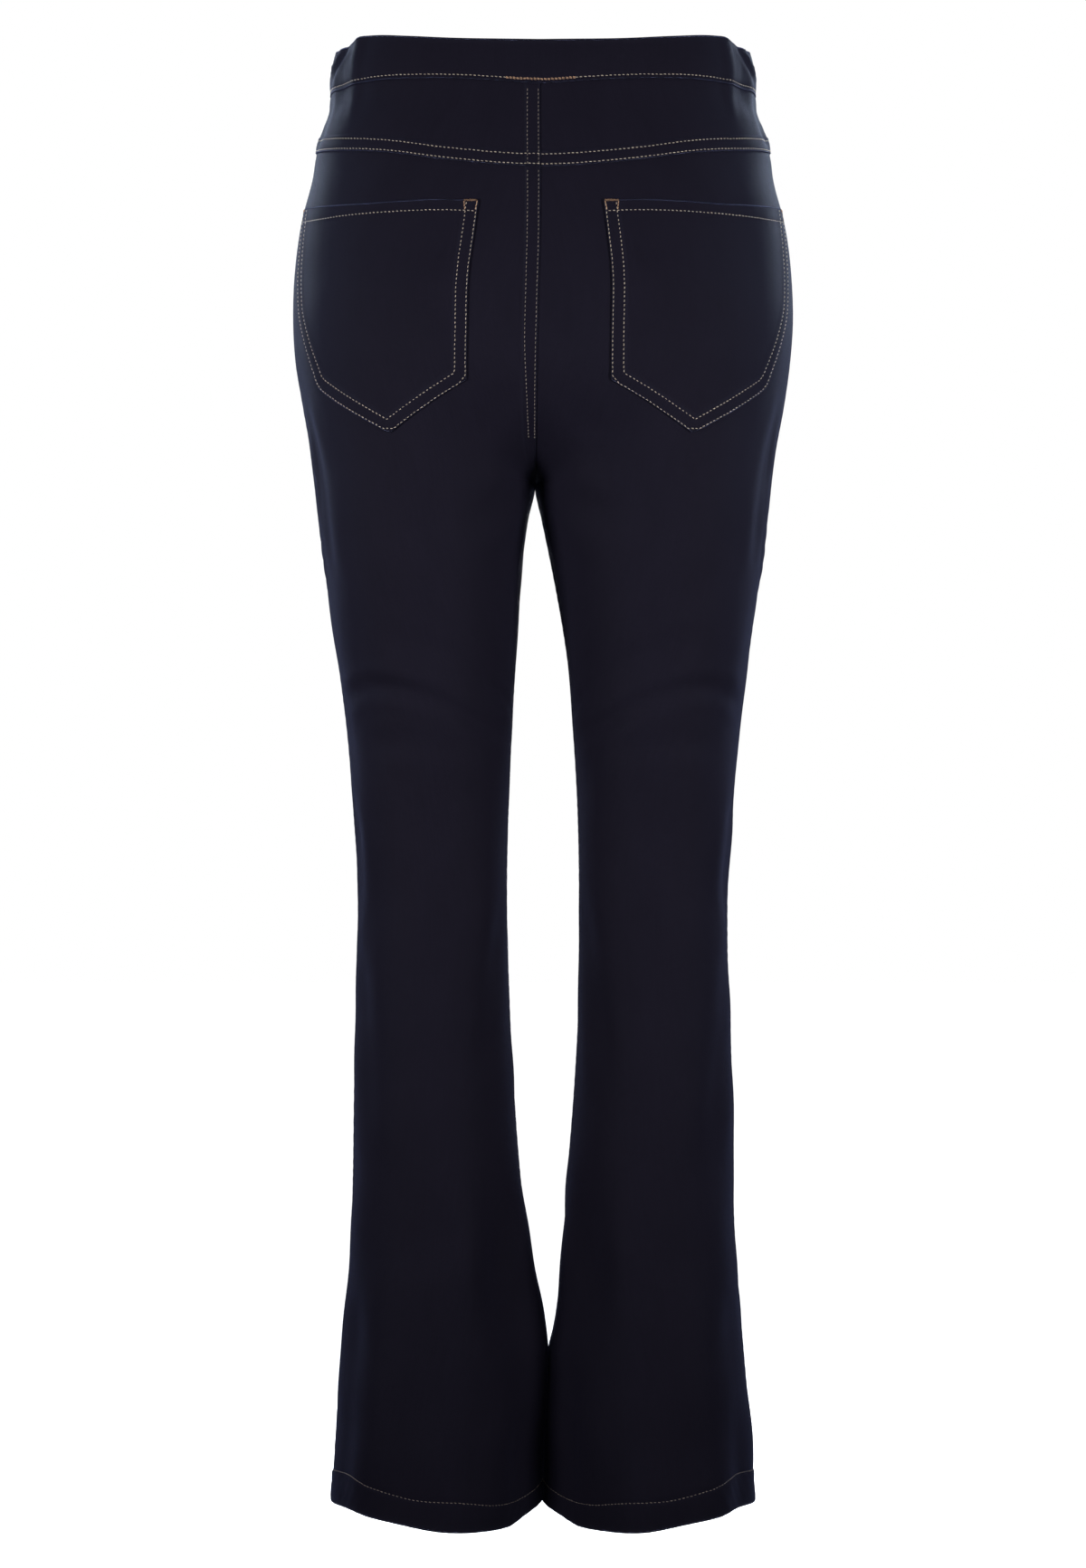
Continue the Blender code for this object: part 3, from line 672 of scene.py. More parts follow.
def add_shell(name, outer, inner, uv, wear, rounding):
    """A thin shell between two nets, with a rim rounded as rounding says: top, right, bottom and left."""
    rows, columns = outer.shape[:2]
    grid = np.arange(rows * columns).reshape(rows, columns)
    quads = np.stack([grid[:-1, :-1], grid[1:, :-1], grid[1:, 1:], grid[:-1, 1:]], axis=-1).reshape(-1, 4)
    ring = [(0, c, rounding[0]) for c in range(columns - 1)]
    ring += [(r, columns - 1, rounding[1]) for r in range(rows - 1)]
    ring += [(rows - 1, c, rounding[2]) for c in range(columns - 1, 0, -1)]
    ring += [(r, 0, rounding[3]) for r in range(rows - 1, 0, -1)]
    r, c = (np.array([step[k] for step in ring]) for k in (0, 1))
    ratio = np.array([step[2] for step in ring])[:, None]
    middle, half = (outer[r, c] + inner[r, c]) / 2, (outer[r, c] - inner[r, c]) / 2
    away = unit(np.cross(np.roll(middle, -1, axis=0) - np.roll(middle, 1, axis=0), half))
    inward = (outer + inner)[np.clip(r, 2, rows - 3), np.clip(c, 2, columns - 3)] / 2
    away *= np.sign(((middle - inward) * away).sum(axis=1, keepdims=True))
    thick = np.linalg.norm(half, axis=1, keepdims=True) * ratio
    loops = [grid[r, c]]
    points = [outer.reshape(-1, 3), inner.reshape(-1, 3)]
    uvs, worn = [uv.reshape(-1, 2)] * 2, [wear.ravel()] * 2
    start = 2 * rows * columns
    for degrees in RIM_TURNS:
        turn = math.radians(degrees)
        points.append(middle + half * math.cos(turn) + away * thick * math.sin(turn))
        uvs.append(uv[r, c])
        worn.append(np.maximum(wear[r, c], RIM_WEAR))
        loops.append(start + np.arange(len(r)))
        start += len(r)
    loops.append(rows * columns + grid[r, c])
    rims = [np.stack([a, b, np.roll(b, -1), np.roll(a, -1)], axis=-1) for a, b in zip(loops, loops[1:])]
    faces = [quads, quads[:, ::-1] + rows * columns, *rims]
    points = np.concatenate(points)
    middle_row, middle_column = rows // 2, columns // 2
    corner = points[quads[middle_row * (columns - 1) + middle_column]]
    facing = np.cross(corner[1] - corner[0], corner[3] - corner[0])
    if facing @ (outer - inner)[middle_row, middle_column] < 0:
        faces = [face[:, ::-1] for face in faces]
    faces = np.concatenate(faces)
    slots = np.zeros(len(faces))
    slots[len(quads):2 * len(quads)] = 1
    piece = add_mesh(name + "_cloth", points, faces, [DENIM, DENIM_INSIDE], np.concatenate(uvs), slots,
                     {"wear": np.concatenate(worn)})
    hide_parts(name)
    return piece


# Columns near a seam lie at these distances from it, and the rest are even between them
SEAM_COLUMNS = np.array((0, 0.5, 1, 1.5, 2.2, 3.2, 4.5, 6, 7.5, 8.4, 9, 9.6, 10.4, 11.2, 12, 13.5)) * MM
SIDE_COLUMNS = np.array((0, 0.6, 1.4, 2.5, 4, 6, 8, 10, 10.8, 11.8, 13.5)) * MM
EVEN_COLUMNS = 54
COLUMN_COUNT = len(SEAM_COLUMNS) + EVEN_COLUMNS + len(SIDE_COLUMNS)
SETTLE_TRIES = 4


def columns_at(quarter, start, end, z):
    """f of a panel's columns, from start(z) off the centre seam or inseam to end off the side seam."""
    near = start(z[:, :1]) + SEAM_COLUMNS
    far = end + SIDE_COLUMNS[::-1]
    count = near.shape[1]
    span = quarter.length(z)
    across = np.empty(z.shape)
    across[:, :count] = near
    across[:, -len(far):] = span[:, -len(far):] - far
    first, last = near[:, -1:], span - far[0]
    middle = np.arange(1, EVEN_COLUMNS + 1) / (EVEN_COLUMNS + 1)
    place = np.s_[:, count:count + EVEN_COLUMNS]
    across[place] = first + (last[place] - first) * middle
    return quarter.turn(across, z)


def edge_row(quarter, edge, offset, start, end=SIDE_IN, crossing=level):
    """Heights of a row beside an edge at every column, and the columns' f there."""
    f = np.linspace(0, 1, COLUMN_COUNT)
    for _ in range(SETTLE_TRIES):
        z = along(edge, crossing(f)) + offset
        f = columns_at(quarter, start, end, z[None, :])[0]
    return z, f


def even_rows(first, last, count):
    return [first + (last - first) * i / count for i in range(count)]


def rows_above(edge, distances):
    return [edge + distance for distance in distances]


def rows_below(edge, distances):
    return [edge - distance for distance in distances]


def fixed(distance):
    return lambda z: np.full_like(z, distance)


def leg_start(side):
    """The left legs lap over the right ones down the centre seams. Below the crotch the edges meet."""
    lap = LAP if side < 0 else -UNDERLAP
    return lambda z: SIDE_IN + (lap - SIDE_IN) * beyond(z, CROTCH_Z + 0.004, 0.030)


def panel(name, quarter, side, rows, start, lift, wall, wear, rounding):
    z = np.array(rows)
    at = Spot(quarter, side, columns_at(quarter, start, SIDE_IN, z), z)
    outer, normals = skin(at, lift)
    uv = np.stack([at.rest, at.z], axis=-1)
    return add_shell(name, outer, outer - normals * wall(at)[..., None], uv, wear(at), rounding)


EDGE_STEPS = np.array((0, 0.6, 1.2, 1.8, 2.6, 3.6, 5, 6.6, 8, 8.8, 9.4, 10.2, 11, 11.8, 13)) * MM
HEM_STITCH_STEPS = np.array((6, 4.4, 3.2, 2.2, 1.4, 0.7, 0, -0.7, -1.4, -2.2)) * MM
SEAT_ROWS, CURVE_ROWS, LEG_ROWS, HEM_ROWS = 40, 42, 222, 9


def leg_rows(quarter, top, start):
    """Rows of a leg panel from its top edge over the crotch curve to the hem."""
    edge, _ = edge_row(quarter, top, UNDERLAP, start)
    crotch, curve_top = np.full_like(edge, CROTCH_Z), np.full_like(edge, CROTCH_Z + quarter.curve)
    at_centre = within(columns_at(quarter, start, SIDE_IN, curve_top[None, :])[0], 0, CURVE_WIDTH)
    rows = rows_below(edge, EDGE_STEPS[:7])
    rows += even_rows(edge - 0.0075, curve_top, SEAT_ROWS)
    for i, even in enumerate(even_rows(curve_top, crotch, CURVE_ROWS)):
        curved = CROTCH_Z + quarter.curve * (1 - math.cos(math.pi / 2 * (1 - i / CURVE_ROWS)))
        rows.append(even + (curved - even) * at_centre)
    hem, f = edge_row(quarter, quarter.hem, HEM_WALL / 2, start, crossing=np.asarray)
    stitch = along(quarter.hem_stitch, f)
    rows += even_rows(crotch, stitch + 0.0060, LEG_ROWS)
    rows += rows_above(stitch, HEM_STITCH_STEPS)
    rows += even_rows(stitch - 0.0034, hem + 0.0014, HEM_ROWS)
    return rows + rows_above(hem, (0.0014, 0.0007, 0.0))


def lapped(distance, fell):
    """How far a wall's thickness differs: less where its piece lies over another, and more in the fell."""
    over = within(distance, UNDERLAP + 0.0004, 0.001)
    return fell * (1 - over) - (CLOTH - LAPPED_WALL) * over


def fell_wall(at):
    return at.torso * lapped(at.across, centre_fell(at)) if at.side < 0 else np.zeros_like(at.z)


def leg_wall(at):
    doubled = within(at.over(at.quarter.hem), HEM_DEPTH - 0.001, 0.0015)
    return CLOTH + (HEM_WALL - CLOTH) * doubled + band(at.rest, SIDE_TURN_WIDTH, ALLOWANCE) + fell_wall(at)


def yoke_wall(at):
    low = at.above(YOKE_SEAM)
    return CLOTH + lapped(low, band(low, YOKE_FELL_WIDTH, YOKE_FELL)) + fell_wall(at)


def leg_wear(at):
    worn = 0.20 * bump(at.rest - 0.001, 0.0016) + 0.15 * bump(at.over(at.quarter.hem), 0.0030)
    worn += 0.10 * bump(at.rest - SIDE_TURN_WIDTH, 0.0012)
    if at.quarter is BACK and at.side < 0:
        fell = 0.12 * bump(at.across - 0.0002, 0.0009) + 0.10 * bump(at.across - CENTRE_FELL_WIDTH, 0.001)
        worn += fell * beyond(at.z, CROTCH_Z, 0.03)
    return np.clip(worn, 0, 1)


def yoke_wear(at):
    low = at.above(YOKE_SEAM)
    return np.clip(leg_wear(at) + 0.10 * bump(low, 0.0012) + 0.10 * bump(low - 0.0108, 0.001), 0, 1)


# Materials


def set_inputs(node, **inputs):
    """Sets a node's sockets, which are named with _ for each space."""
    for key, value in inputs.items():
        node.inputs[key.replace("_", " ")].default_value = value
    return node


class Value:
    """An output of a node, which takes part in sums as a number does."""

    def __init__(self, tree, output):
        self.tree, self.output = tree, output

    def feed(self, socket):
        self.tree.links.new(self.output, socket)

    def join(self, operation, other, clamp=False):
        node = self.tree.nodes.new("ShaderNodeMath")
        node.operation, node.use_clamp = operation, clamp
        self.feed(node.inputs[0])
        if isinstance(other, Value):
            other.feed(node.inputs[1])
        else:
            node.inputs[1].default_value = other
        return Value(self.tree, node.outputs[0])

    def __add__(self, other):
        return self.join("ADD", other)

    def __sub__(self, other):
        return self.join("SUBTRACT", other)

    def __mul__(self, other):
        return self.join("MULTIPLY", other)

    def between(self, low, high):
        """A colour between two others, by this share. Each is an RGBA tuple or an output."""
        node = self.tree.nodes.new("ShaderNodeMix")
        node.data_type = "RGBA"
        self.feed(node.inputs["Factor"])
        for socket, colour in ((node.inputs[6], low), (node.inputs[7], high)):
            if isinstance(colour, tuple):
                socket.default_value = colour
            else:
                colour.feed(socket)
        return Value(self.tree, node.outputs[2])


class Look:
    """A material with a node tree, and the textures in it."""

    def __init__(self, name):
        self.material = bpy.data.materials.new(name)
        self.material.use_nodes = True
        self.tree = self.material.node_tree
        self.shader = self.tree.nodes["Principled BSDF"]

    def node(self, kind, **inputs):
        return set_inputs(self.tree.nodes.new(kind), **inputs)

    def cloth(self):
        place = self.node("ShaderNodeUVMap")
        place.uv_map = "cloth"
        return place.outputs[0]

    def texture(self, kind, vector, scale, turn=0.0, **inputs):
        mapping = self.node("ShaderNodeMapping", Scale=scale, Rotation=(0, 0, math.radians(turn)))
        self.tree.links.new(vector, mapping.inputs["Vector"])
        node = self.node(kind, Scale=1.0, **inputs)
        self.tree.links.new(mapping.outputs[0], node.inputs["Vector"])
        return Value(self.tree, node.outputs["Fac"])

    def noise(self, vector, scale, detail, roughness=0.55):
        return self.texture("ShaderNodeTexNoise", vector, scale, Detail=detail, Roughness=roughness)

    def waves(self, vector, scale, turn):
        return self.texture("ShaderNodeTexWave", vector, (scale, scale, 1), turn, Distortion=0.0, Detail=1.0)

    def finish(self, colour, rough, height, strength, distance, **inputs):
        """Joins the colour, roughness and bumps to the shader and sets its other sockets."""
        bumps = self.node("ShaderNodeBump", Strength=strength, Distance=distance)
        colour.feed(self.shader.inputs["Base Color"])
        rough.feed(self.shader.inputs["Roughness"])
        height.feed(bumps.inputs["Height"])
        self.tree.links.new(bumps.outputs["Normal"], self.shader.inputs["Normal"])
        set_inputs(self.shader, **inputs)
        return self.material


TWILL_PITCH = 0.00075
YARN_PITCH = 0.00042
WAVE_SCALE = 0.31


def denim(name, dark, light, worn, sheen):
    """Stretch twill in cloth coordinates: diagonal wales, yarns, slubs, uneven dye and wear along edges."""
    look = Look(name)
    cloth = look.cloth()
    wale = look.waves(cloth, WAVE_SCALE / TWILL_PITCH, 28)
    yarn = look.waves(cloth, WAVE_SCALE / YARN_PITCH, 90)
    fleck = look.noise(cloth, (2400, 1500, 1), 2.0)
    slub = look.noise(cloth, (620, 26, 1), 3.0, 0.6)
    mottle = look.noise(cloth, (26, 15, 1), 4.0, 0.6)
    twill = wale * 0.65 + yarn * 0.35
    share = (twill * 0.30 + slub * 0.34 + mottle * 0.36).join("ADD", fleck * 0.16, clamp=True)
    wear = look.node("ShaderNodeAttribute")
    wear.attribute_name = "wear"
    rubbed = Value(look.tree, wear.outputs["Fac"]).join("MULTIPLY", fleck + slub, clamp=True) * 0.6
    return look.finish(
        rubbed.between(share.between(dark, light), worn),
        (slub - twill) * 0.10 + 0.74,
        twill * 0.8 + fleck * 0.5 + slub * 0.35, 0.55, 0.00022,
        Specular_IOR_Level=0.05, Sheen_Weight=sheen, Sheen_Roughness=0.24, Sheen_Tint=(0.45, 0.50, 0.95, 1),
    )


def thread(name, colour, shade):
    """Twisted topstitching thread, in coordinates round and along each stitch."""
    look = Look(name)
    twist = look.waves(look.cloth(), 2600, 38)
    where = look.node("ShaderNodeTexCoord").outputs["Object"]
    uneven = look.noise(where, (90, 90, 90), 3.0)
    # The darker colour falls in the grooves of the twist and is painted shade. The noise adds uneven tone.
    share = twist * 0.45 + uneven * 0.55
    return look.finish(share.between(shade, colour), twist * 0.16 + 0.46, twist, 0.5, 0.00008,
                       Specular_IOR_Level=0.35, Sheen_Weight=0.2)


DENIM = denim("indigo_stretch_denim", (0.0041, 0.0036, 0.0080, 1), (0.0112, 0.0098, 0.0190, 1),
              (0.040, 0.044, 0.072, 1), 0.24)
DENIM_INSIDE = denim("denim_inner_face", (0.030, 0.033, 0.050, 1), (0.070, 0.076, 0.105, 1),
                     (0.11, 0.12, 0.15, 1), 0.15)
TAN = thread("tan_topstitch_thread", (0.66, 0.57, 0.46, 1), (0.42, 0.34, 0.26, 1))
# The fine seam thread is the tan thread made darker. This is painted shade for the upright centre-back rows,
# which catch less of the light from above.
FINE_THREAD_PAINTED_SHADE = thread("fine_seam_thread_painted_shade", (0.36, 0.31, 0.26, 1), (0.22, 0.18, 0.15, 1))
RUST = thread("rust_tack_thread", (0.64, 0.39, 0.24, 1), (0.40, 0.23, 0.13, 1))
# The hem thread is the tan thread made darker. This is painted shade for the dimmer hems, not a duller
# thread.
SHADE = thread("hem_thread_painted_shade", (0.34, 0.28, 0.24, 1), (0.20, 0.16, 0.13, 1))


# Stitches

RING_SIDES = 6
RING_PLACES = np.array([0.0, 0.16, 0.5, 0.84, 1.0])
RING_LIFT = np.array([-0.9, 0.35, 0.95, 0.35, -0.9])
RING_SIZE = np.array([0.55, 0.95, 1.0, 0.95, 0.55])
RING_TURNS = np.arange(RING_SIDES) * FULL_TURN / RING_SIDES
ALONG_JITTER = 0.00006
ASIDE_JITTER = 0.00005
LOOK_AHEAD = 0.0004


def stitch_run(at, lift, seed, pitch=STITCH_PITCH, hole=STITCH_HOLE, slant=0.10, offset=0.0,
               radius=THREAD_RADIUS):
    """Points of the stitches along a line on a piece, five rings of six points for each."""
    points, normals = skin(at, lift)
    run = run_along(points)
    count = max(1, int(round(run[-1] / pitch)))
    pitch = run[-1] / count
    rng = np.random.default_rng(seed)
    places = np.arange(count)[:, None] * pitch + hole / 2 + RING_PLACES * (pitch - hole)
    places = places + rng.normal(0, ALONG_JITTER, (count, 1))

    def read(values, where):
        return np.stack([np.interp(where, run, values[:, k]) for k in range(3)], axis=-1)

    up = unit(read(normals, places))
    beside = np.cross(unit(read(points, places + LOOK_AHEAD) - read(points, places - LOOK_AHEAD)), up)
    lean = (RING_PLACES - 0.5) * (pitch - hole) * slant
    shift = lean + offset + rng.normal(0, ASIDE_JITTER, (count, 1))
    centre = read(points, places) + up * (RING_LIFT * radius)[:, None] + beside * shift[..., None]
    cos, sin = np.cos(RING_TURNS)[:, None], np.sin(RING_TURNS)[:, None]
    ring = cos * up[:, :, None] + sin * beside[:, :, None]
    return centre[:, :, None] + ring * (RING_SIZE * radius)[:, None, None]


def add_stitches(name, runs, material):
    """One piece of thread for all stitches of several runs."""
    rings = np.concatenate(runs)
    count = len(rings)
    index = np.arange(count * len(RING_PLACES) * RING_SIDES).reshape(count, -1, RING_SIDES)
    a, b = index[:, :-1], index[:, 1:]
    sides = np.stack([a, b, np.roll(b, -1, axis=2), np.roll(a, -1, axis=2)], axis=-1).reshape(-1, 4)
    caps = []
    for ring, order in ((index[:, 0], 1), (index[:, -1], -1)):
        caps += [ring[:, corners][:, ::order] for corners in ([0, 1, 2, 3], [0, 3, 4, 5])]
    down = RING_PLACES * (STITCH_PITCH - STITCH_HOLE)
    u = np.broadcast_to(RING_TURNS * THREAD_RADIUS, index.shape)
    v = np.broadcast_to(down[:, None], index.shape) + np.arange(count)[:, None, None] * STITCH_PITCH
    uv = np.stack([u, v], axis=-1).reshape(-1, 2)
    return add_mesh(name, rings.reshape(-1, 3), np.concatenate([sides, *caps]), [material], uv)


# Cloth pieces

SIDES = (("left", -1), ("right", 1))
WAISTBAND_FOOT = np.array((7, 5.6, 4.6, 3.8, 3.2, 2.6, 2, 1.4, 0.7, 0)) * MM
# The rust stitches at the centre back run up to this f. The tan ones start just before it.
RUST_END = 0.102
TAN_START = 0.098


def waistband_net(quarter, side, f, z):
    """Outer face, inner face, cloth coordinates and wear of half a waistband."""
    at = Spot(quarter, side, f, z)
    outer, normals = skin(at, waistband_lift)
    low = at.over(quarter.waist_seam)
    lip = within(low, UNDERLAP + 0.0010, 0.0012)
    wall = WAISTBAND_WALL * (1 - lip) + (waistband_lift(at) - 0.00012) * lip
    worn = 0.10 * bump(low, 0.0016) + 0.15 * bump(at.above(quarter.waist_top), 0.0025)
    return outer, outer - normals * wall[..., None], np.stack([at.across * side, z], axis=-1), worn


def waistband_run(quarter, side, start, end, count, seed, **style):
    f = np.linspace(start, end, count)
    z = along(quarter.waist_seam, level(f)) + WAISTBAND_STITCH
    return stitch_run(Spot(quarter, side, f, z), waistband_lift, seed + side, **style)


for quarter in (BACK, FRONT):
    name = "waistband_" + quarter.name
    ends = fixed(0.0), WAISTBAND_SIDE_IN
    top, _ = edge_row(quarter, quarter.waist_top, -WAISTBAND_WALL / 2, *ends)
    low, _ = edge_row(quarter, quarter.waist_seam, 0.0005, *ends)
    rows = rows_below(top, (0.0, 0.0008, 0.0018)) + even_rows(top - 0.0030, low + 0.0070, 11)
    z = np.array(rows + rows_above(low, WAISTBAND_FOOT))
    f = columns_at(quarter, *ends, z)
    halves = zip(*(waistband_net(quarter, side, f, z) for _, side in SIDES))
    band_piece = add_shell(name, *(np.concatenate([a[:, :0:-1], b], axis=1) for a, b in halves),
                           (1.0, 0.3, 1.0, 0.3))
    start = TAN_START if quarter is BACK else 0.0
    runs = [waistband_run(quarter, side, start, 1.0, 160, 3) for _, side in SIDES]
    extras = [add_stitches(name + "_stitches", runs, TAN)]
    if quarter is BACK:
        runs = []
        for _, side in SIDES:
            for offset, seed in ((0.00035, 5), (-0.00035, 6)):
                runs.append(waistband_run(quarter, side, 0.0, RUST_END, 40, seed, pitch=0.0024, hole=0.0003,
                                          slant=0.25, offset=offset))
        extras.append(add_stitches(name + "_centre_stitches", runs, RUST))


def centre_stitches(name, lift, rows, count, seed):
    """Fine rows of stitches down the felled centre back."""
    runs = []
    for k, line in enumerate(CENTRE_STITCHES):
        z = np.linspace(*rows, count)
        at = Spot(BACK, -1, BACK.turn(line - k * centre_narrowing(z), z), z)
        runs.append(stitch_run(at, lift, seed + k, radius=FINE_RADIUS))
    # These rows take the darker thread, which is painted shade.
    return add_stitches(name, runs, FINE_THREAD_PAINTED_SHADE)


for suffix, side in SIDES:
    name = "yoke_" + suffix
    centre = fixed(LAP if side < 0 else -UNDERLAP)
    top, _ = edge_row(BACK, BACK_WAIST_SEAM, UNDERLAP, centre)
    low, _ = edge_row(BACK, YOKE_SEAM, 0.0003, centre)
    rows = rows_below(top, (0.0, 0.0010, 0.0022, 0.0034, 0.0046, 0.0060))
    rows += even_rows(top - 0.0078, low + 0.0145, 18) + rows_above(low, EDGE_STEPS[::-1])
    yoke = panel(name, BACK, side, rows, centre, yoke_lift, yoke_wall, yoke_wear, (0.6, 1.0, 0.6, 0.6))
    runs = []
    for k, line in enumerate(YOKE_STITCHES):
        f = np.linspace(0.0, 0.992, 200)
        at = Spot(BACK, side, f, along(YOKE_SEAM, level(f)) + line)
        runs.append(stitch_run(at, yoke_lift, 11 + k + side))
    extras = [add_stitches(name + "_stitches", runs, TAN)]
    if side < 0:
        extras.append(centre_stitches("yoke_centre_stitches", yoke_lift, YOKE_CENTRE_ROWS, 60, 21))

    for quarter, edge, lift, seed in ((BACK, YOKE_SEAM, back_leg_lift, 31),
                                      (FRONT, FRONT_WAIST_SEAM, front_leg_lift, 51)):
        kind = quarter.name + "_leg"
        name = kind + "_" + suffix
        centre = leg_start(side)
        rows = leg_rows(quarter, edge, centre)
        leg = panel(name, quarter, side, rows, centre, lift, leg_wall, leg_wear, (0.6, 1.0, 1.0, 1.0))
        f = np.linspace(0.004, 0.996, 200)
        at = Spot(quarter, side, f, along(quarter.hem_stitch, f))
        runs = [stitch_run(at, lift, seed + side, radius=FINE_RADIUS)]
        # The hem stitches take the darker thread, which is painted shade.
        extras = [add_stitches(name + "_hem_stitches", runs, SHADE)]
        if quarter is BACK and side < 0:
            extras.append(centre_stitches("centre_back_stitches", lift, SEAT_CENTRE_ROWS, 150, 41))


# Pockets

POCKET_EDGE_STEPS = np.array((0, 0.6, 1.2, 1.8, 2.4, 3.2, 4.4, 5.8, 7.4, 8.6, 9.4, 10, 10.8, 11.8, 13.2)) * MM
POCKET_EVEN = 44
POCKET_NET_WIDTH = 0.150
# Bar tack over the inner corner, short slanting rows under it, and a small tack over the outer corner: where
# each starts and ends, across and down the cloth, and its pitch. The tacks are dense.
TACKS = (
    ((0.0437, -0.1001), (0.0530, -0.1001), 0.00055),
    ((0.0437, -0.1004), (0.0452, -0.1068), 0.0021),
    ((0.0530, -0.1004), (0.0524, -0.1068), 0.0021),
    ((0.1980, -0.0950), (0.2006, -0.0955), 0.00055),
)
DENSE_PITCH = 0.001


def pocket_net():
    """f and z of the pocket's net, from the mouth to the point, with dense columns at both sides."""
    trim = POCKET_WALL / 2
    near = POCKET_EDGE_STEPS / POCKET_NET_WIDTH
    far = 1 - near[::-1]
    even = near[-1] + (far[0] - near[-1]) * np.arange(1, POCKET_EVEN + 1) / (POCKET_EVEN + 1)
    share = np.concatenate([near, even, far])
    mouth = along(POCKET_MOUTH, pocket_turn(share, np.full_like(share, -0.1))) - trim
    bottom = pocket_bottom(share) + trim * 1.1
    rows = rows_below(mouth, POCKET_EDGE_STEPS[:12])
    rows += even_rows(mouth - 0.0112, bottom + 0.0150, 46)
    z = np.array(rows + rows_above(bottom, POCKET_EDGE_STEPS[::-1] * 1.12))
    inner, outer = pocket_edges(z)
    width = np.clip(outer - inner, 0.1, None)
    return pocket_turn(share * (1 - 2 * trim / width) + trim / width, z), z


def pocket_line(inset):
    """A line on the pocket, beside its outline and inside it."""
    tangent = unit(np.gradient(POCKET_PATH, axis=0))
    line = POCKET_PATH + np.stack([-tangent[:, 1], tangent[:, 0]], axis=-1) * inset
    line = line[nearest(POCKET_PATH, line[:, 0], line[:, 1])[0] > inset * 0.985]
    top = along(POCKET_MOUTH, BACK.turn(line[:, 0], line[:, 1]))
    line = line[line[:, 1] < top - 0.0010]
    lengths = run_along(line)
    places = np.linspace(0, lengths[-1], 500)
    return np.interp(places, lengths, line[:, 0]), np.interp(places, lengths, line[:, 1])


def pocket_run(side, across, z, seed, **style):
    return stitch_run(Spot(BACK, side, BACK.turn(across, z), z), pocket_lift, seed, **style)


for suffix, side in SIDES:
    name = "pocket_" + suffix
    at = Spot(BACK, side, *pocket_net())
    outer, normals = skin(at, pocket_lift)
    wall = np.minimum(pocket_lift(at) - LYING_GAP - back_leg_lift(at), POCKET_WALL_MOST)
    distance, _ = nearest(POCKET_PATH, at.across, at.z)
    worn = 0.14 * bump(distance, 0.0014) + 0.10 * bump(distance - 0.0100, 0.001)
    worn += 0.06 * bump(at.over(POCKET_MOUTH), 0.0014)
    uv = np.stack([at.rest, at.z], axis=-1)
    pocket = add_shell(name, outer, outer - normals * wall[..., None], uv, worn, (0.9, 0.9, 0.9, 0.9))
    runs = [pocket_run(side, *pocket_line(line), 61 + k + side) for k, line in enumerate(POCKET_STITCHES)]
    f = np.linspace(*pocket_turn(np.array([0.012, 0.992]), np.array([-0.105, -0.101])), 160)
    runs.append(stitch_run(Spot(BACK, side, f, along(POCKET_MOUTH_STITCH, f)), pocket_lift, 71 + side))
    stitches = add_stitches(name + "_stitches", runs, TAN)
    runs = []
    for start, end, pitch in TACKS:
        hole, slant = (0.0, 2.8) if pitch < DENSE_PITCH else (0.0002, 0.1)
        across, z = (a + (b - a) * np.linspace(0, 1, 30) for a, b in zip(start, end))
        runs.append(pocket_run(side, across, z, 81, pitch=pitch, hole=hole, slant=slant, radius=TACK_RADIUS))
    tacks = add_stitches(name + "_tacks", runs, RUST)


# Stage, light and camera

FLOOR_Z = -1.1200
FLOOR_SIZE = 9.0


def pale_floor():
    mesh = bpy.data.meshes.new("floor")
    corners = [(x * FLOOR_SIZE, y * FLOOR_SIZE, FLOOR_Z) for x, y in ((-1, -1), (1, -1), (1, 1), (-1, 1))]
    mesh.from_pydata(corners, [], [(0, 1, 2, 3)])
    look = Look("pale_floor")
    set_inputs(look.shader, Base_Color=(0.92, 0.92, 0.92, 1), Roughness=0.9, Specular_IOR_Level=0.1,
               Emission_Color=(1, 1, 1, 1), Emission_Strength=0.94)
    mesh.materials.append(look.material)
    floor = bpy.data.objects.new("floor", mesh)
    floor.visible_diffuse = False
    floor.visible_glossy = False
    bpy.context.scene.collection.objects.link(floor)


def add_light(name, kind, place, target, energy, size, colour=(1, 1, 1), spread=180):
    light = bpy.data.lights.new(name, kind)
    light.energy = energy
    light.color = colour
    if kind == "AREA":
        light.shape = "RECTANGLE"
        light.size, light.size_y = size
        light.spread = math.radians(spread)
    else:
        light.angle = size
    lamp = bpy.data.objects.new(name, light)
    lamp.location = place
    lamp.rotation_euler = (Vector(target) - Vector(place)).to_track_quat("-Z", "Y").to_euler()
    lamp.visible_camera = False
    bpy.context.scene.collection.objects.link(lamp)


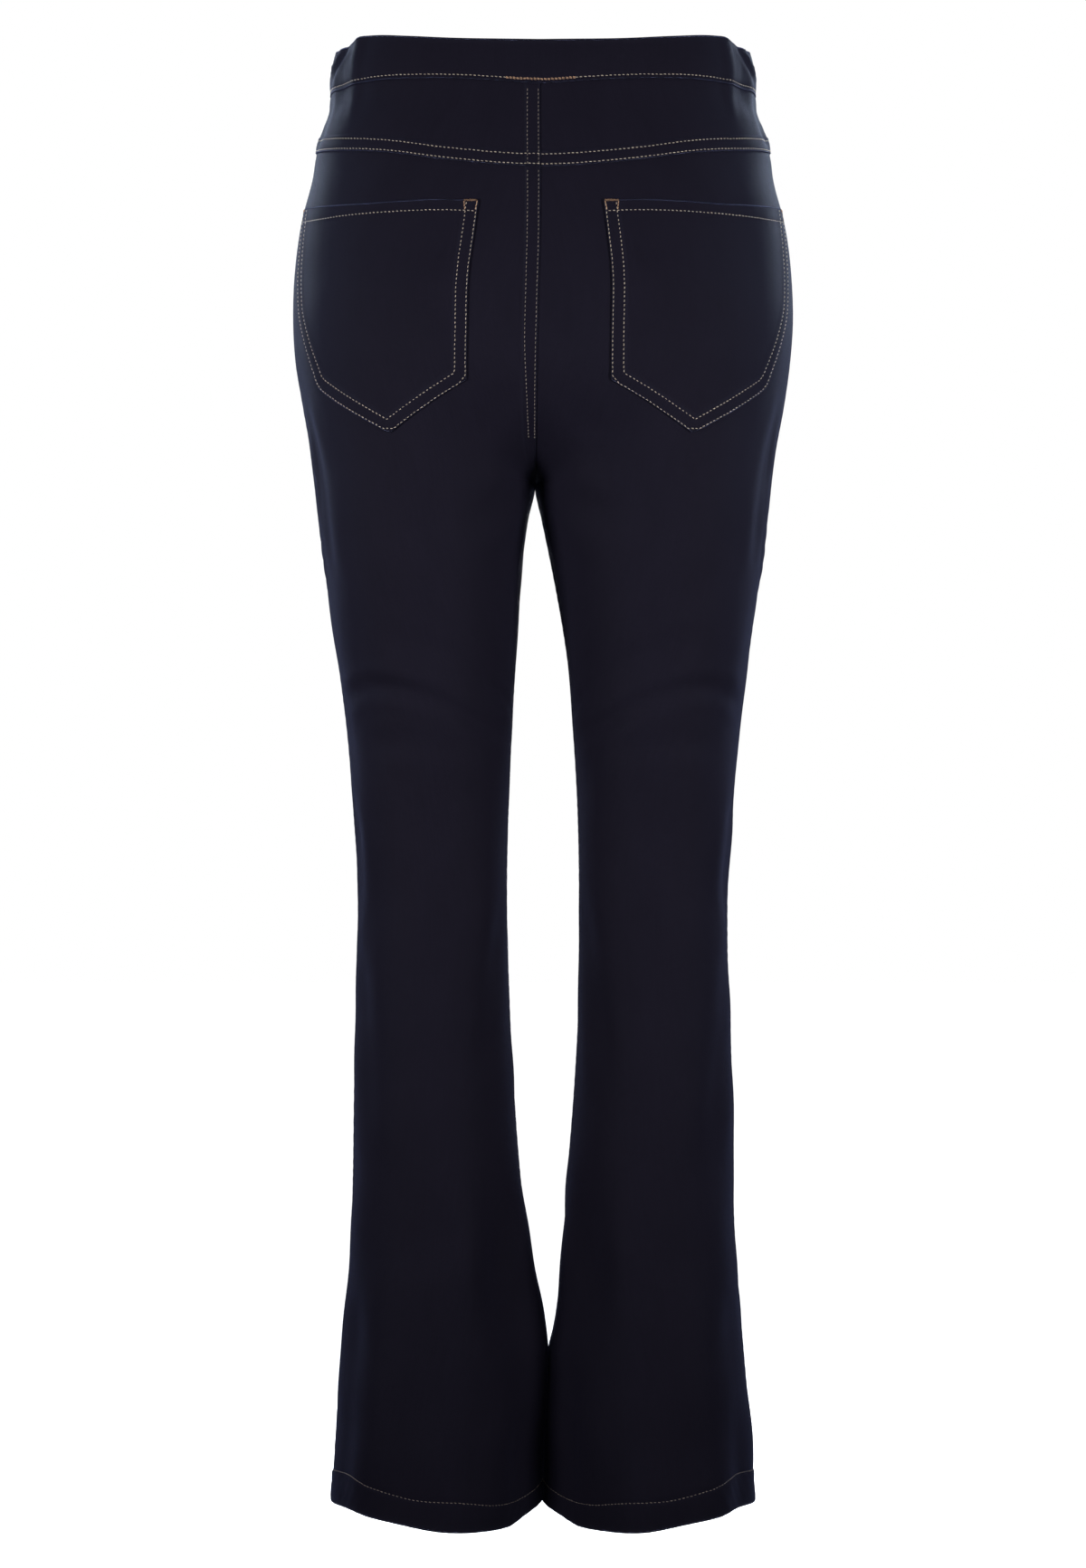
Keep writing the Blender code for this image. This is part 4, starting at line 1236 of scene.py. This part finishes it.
def white_world():
    """A white studio all round, which gives less light than it shows."""
    world = bpy.data.worlds.new("studio")
    bpy.context.scene.world = world
    world.use_nodes = True
    tree = world.node_tree
    tree.nodes.clear()
    seen = set_inputs(tree.nodes.new("ShaderNodeBackground"), Color=(1, 1, 1, 1), Strength=1.0)
    given = set_inputs(tree.nodes.new("ShaderNodeBackground"), Color=(0.96, 0.98, 1, 1), Strength=0.06)
    path = tree.nodes.new("ShaderNodeLightPath")
    mixed = tree.nodes.new("ShaderNodeMixShader")
    out = tree.nodes.new("ShaderNodeOutputWorld")
    tree.links.new(path.outputs["Is Camera Ray"], mixed.inputs[0])
    tree.links.new(given.outputs[0], mixed.inputs[1])
    tree.links.new(seen.outputs[0], mixed.inputs[2])
    tree.links.new(mixed.outputs[0], out.inputs["Surface"])


pale_floor()
white_world()
add_light("overhead", "SUN", (0, 0, 3), (0, 0, 0), 0.35, math.radians(60))
for hand, side in SIDES:
    add_light(hand + "_key", "AREA", (1.3 * side, -1.2, -0.30), (0, 0, -0.34), 4.0, (0.6, 0.5), spread=70)
    add_light(hand + "_softbox", "AREA", (0.9 * side, 0.25, 0.12), (0, 0, -0.05), 4.4, (0.35, 0.35),
              (0.55, 0.72, 1))
    add_light(hand + "_rim", "AREA", (0.85 * side, 1.0, 0.35), (0, 0, 0), 16, (0.4, 0.3), (0.70, 0.82, 1))
add_light("front_key", "AREA", (0, 1.1, -0.50), (0, 0, -0.50), 9, (0.32, 0.7))

# The camera stands behind the garment, level with the knees
CAMERA_DISTANCE = 2.7
CAMERA_HEIGHT = -0.501
FOCAL_PIXELS = 4154
IMAGE_HEIGHT = 1733
SENSOR = 36

camera = bpy.data.objects.new("camera", bpy.data.cameras.new("camera"))
camera.location = (0, -CAMERA_DISTANCE, CAMERA_HEIGHT)
camera.rotation_euler = (math.pi / 2, 0, 0)
camera.data.sensor_width = SENSOR
camera.data.sensor_fit = "AUTO"
camera.data.lens = FOCAL_PIXELS * SENSOR / IMAGE_HEIGHT
bpy.context.scene.collection.objects.link(camera)
bpy.context.scene.camera = camera
bpy.context.scene.view_settings.view_transform = "Standard"
